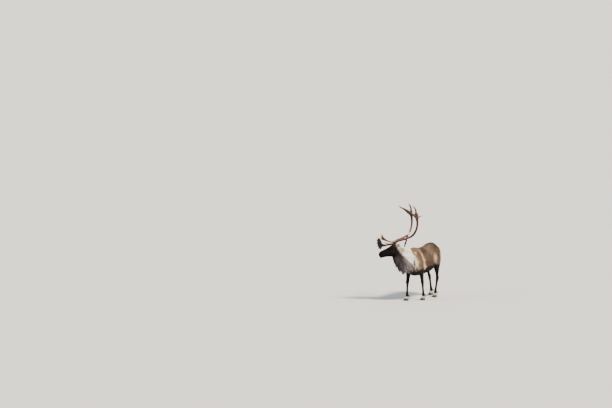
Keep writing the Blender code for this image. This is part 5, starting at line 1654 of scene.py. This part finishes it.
# %% Mane
for skin, word, amounts in ((body, "low", (7800, 8600)), (head, "high", (4200, 3600))):
    turn = np.abs(skin["neck_turn"])
    at = skin["neck_at"]
    height = skin["points"][:, 2]
    below = ease(2.2, 0.5, turn)
    locks = (0.060 + 0.080 * below) * (0.70 + 0.50 * bump(at, 0.55, 0.30)) * (1 - 0.45 * ease(0.75, 1.0, at))
    locks = locks * (1 - 0.55 * ease(0.86, 0.68, height))
    under = (0.045 + 0.012 * below) * (1 - 0.35 * ease(0.80, 0.66, height))
    hang = 0.10 + 0.25 * below
    share = skin["neck"] * (ease(0.66, 0.70, at) if skin is head else ease(0.74, 0.70, at))
    coat(f"mane_under_{word}", skin, share, amounts[0], under, 0.0080, 0.22, 0.24,
         mane_hair, "pale_coat", neck_chart, shape=MIDDLE, droop=0.10, guides=600, gather=0.25)
    coat(f"mane_locks_{word}", skin, share, amounts[1], locks, 0.0075, 0.20, 0.22,
         mane_hair, "pale_coat", neck_chart, shape=LONG, droop=hang, guides=amounts[1] // 26, gather=0.66,
         light=(0.80, 1.15))

# %% Face and ears
ahead, out_at, up = head["head_at"].T
wide = np.abs(out_at)
eye_way = np.hypot((ahead - EYE_PLACE[0]) / 0.0215, (up - EYE_PLACE[2]) / 0.0155)
nostril_way = nearest_on(np.stack([ahead, wide, up], 1), along(NOSTRIL, 40)[:, :3])[1]
bare = np.maximum(ease(1.25, 1.0, eye_way) * (wide > 0.03), ease(0.013, 0.009, nostril_way))
mouth_gap = np.abs(up - mouth_height(ahead)) + 0.02 * ease(0.300, 0.278, ahead)
bare = np.maximum(bare, ease(0.0045, 0.0025, mouth_gap))
face_share = ease(0.2, 0.6, head["face"]) * (1 - bare) * (1 + 0.8 * ease(0.12, 0.24, ahead))
face_length = 0.0085 + 0.013 * ease(0.26, 0.02, ahead)
face_width = 0.0026 + 0.0028 * ease(0.26, 0.02, ahead)
for side, word in ((1, "left"), (-1, "right")):
    half_share = face_share * (side * out_at >= 0)
    coat(f"coat_face_{word}", head, half_share, 13000, face_length, face_width, 0.22, 0.14,
         face_hair, "dark_coat", head_chart)
for side, word, (points, faces) in zip((1, -1), ("left", "right"), lid_shells):
    lid = {"points": points, "triangles": faces, "normals": normals_of(points, faces)}
    row = np.repeat(np.arange(LID_ROWS), LID_TURNS)
    from_eye = to_head(points) - EYE_PLACE * (1, side, 1)
    away = (unit(from_eye * (1, 0, 1)) * (0.5, 0, 0.8) - (0.7, 0, 0)) @ HEAD_AXES.T
    lid["lie"] = flat_on(away, lid["normals"])
    lid["colour"] = np.tile(shade("171211"), (len(points), 1))
    coat(f"coat_lids_{word}", lid, ease(8, 11, row) * ease(21, 19, row), 900, 0.0065, 0.0016, 0.25, 0.16,
         face_hair, "dark_coat", head_chart)
    upper = (row == LASH_ROW) & (from_eye[:, 2] > 0.002)
    base = points[upper]
    each = np.ones(len(base))
    out = HEAD_AXES @ np.array((0.0, side, 0.0))
    fan = unit(out + 0.5 * unit(from_eye[upper] * (1, 0, 0.3)) @ HEAD_AXES.T)
    above = unit(np.cross(np.cross(fan, (0.0, 0.0, 1.0)), fan))
    lines = hair_lines(base, fan, above, LASH_LENGTH * each, 0.10 * each, 0.35 * each, LONG[0])
    lashes = blades(lines, above, LASH_WIDTH * each, 0.0003 * each, LONG[1])
    build(f"lashes_{word}", *lashes, lid_skin, "dark_coat")
for word, ear in zip(("left", "right"), ears):
    coat(f"coat_ear_{word}", ear, ease(0.05, 0.2, ear["way"]), 1900, 0.011 + 0.009 * ear["inside"], 0.0034,
         0.25, 0.14, mane_hair, "pale_coat", head_chart, shape=MIDDLE)

# %% [markdown]
# ## Floor, light and camera
# The stage is a plain pale floor with one broad sun behind a haze and a bright sky all round. The camera
# stands far away with a long lens, three quarters ahead of the animal's left side and a little above it, and
# keeps the animal small and to the right in the frame, as it was seen. The picture is a third of a stop
# brighter and a little higher in contrast than plain, so that the white of the mane stands out.

# %% Stage
# Plain pale studio floor: matt, with a faint mottling decimetres wide.
FLOOR_GRAIN = {"Scale": 3.0, "Detail": 2.0}
floor_paint = textured("pale studio floor", 0.9, 0.2, FLOOR_GRAIN, ("bcbab6", "c3c1bd"), None)
FLOOR_REACH = 400.0
corners = np.array([(-1, -1, 0), (1, -1, 0), (1, 1, 0), (-1, 1, 0)], float) * FLOOR_REACH
floor = bpy.data.objects.new("floor", new_mesh("floor", corners, np.array([[0, 1, 2, 3]])))
floor.data.materials.append(floor_paint)
scene_objects.link(floor)

world = bpy.data.worlds.new("studio sky")
bpy.context.scene.world = world
world.use_nodes = True
world.node_tree.nodes["Background"].inputs["Color"].default_value = (*shade("e6ebf2"), 1)
world.node_tree.nodes["Background"].inputs["Strength"].default_value = 0.70


def sun(name, azimuth, height, strength, spread, colour):
    """A sun that shines from an azimuth and height in degrees, softened by its spread."""
    lamp = bpy.data.lights.new(name, "SUN")
    lamp.energy = strength
    lamp.angle = math.radians(spread)
    lamp.color = shade(colour)
    obj = bpy.data.objects.new(name, lamp)
    a, e = math.radians(azimuth), math.radians(height)
    back = Vector((math.sin(a) * math.cos(e), -math.cos(a) * math.cos(e), math.sin(e)))
    obj.rotation_euler = back.to_track_quat("Z", "Y").to_euler()
    scene_objects.link(obj)


sun("key", 75, 50, 4.6, 12, "fff4e4")
sun("fill", -40, 30, 0.8, 40, "eaf0ff")
bpy.context.scene.view_settings.look = "AgX - Medium High Contrast"
bpy.context.scene.view_settings.exposure = 0.35

# %% Camera
AZIMUTH, ELEVATION = math.radians(30), math.radians(7)
METRE = 45.0  # pixels of the frame to a metre of the animal
FRAME_SIZE = (612, 408)
FOOT = (422.5, 298.4)  # where the floor under the trunk's middle lies in the frame
LENS, SENSOR = 400.0, 36.0

level = math.cos(ELEVATION)
back = np.array((math.sin(AZIMUTH) * level, -math.cos(AZIMUTH) * level, math.sin(ELEVATION)))
right = np.array((math.cos(AZIMUTH), math.sin(AZIMUTH), 0.0))
upward = np.cross(back, right)
aim = MOVE + right * (FRAME_SIZE[0] / 2 - FOOT[0]) / METRE + upward * (FOOT[1] - FRAME_SIZE[1] / 2) / METRE
distance = FRAME_SIZE[0] / METRE * LENS / SENSOR
camera = bpy.data.objects.new("camera", bpy.data.cameras.new("camera"))
camera.data.lens, camera.data.sensor_width = LENS, SENSOR
camera.data.clip_start, camera.data.clip_end = 1.0, 1500.0
camera.location = Vector(aim + back * distance)
camera.rotation_euler = Vector(back).to_track_quat("Z", "Y").to_euler()
scene_objects.link(camera)
bpy.context.scene.camera = camera
print("camera", round(distance, 1), "m away")
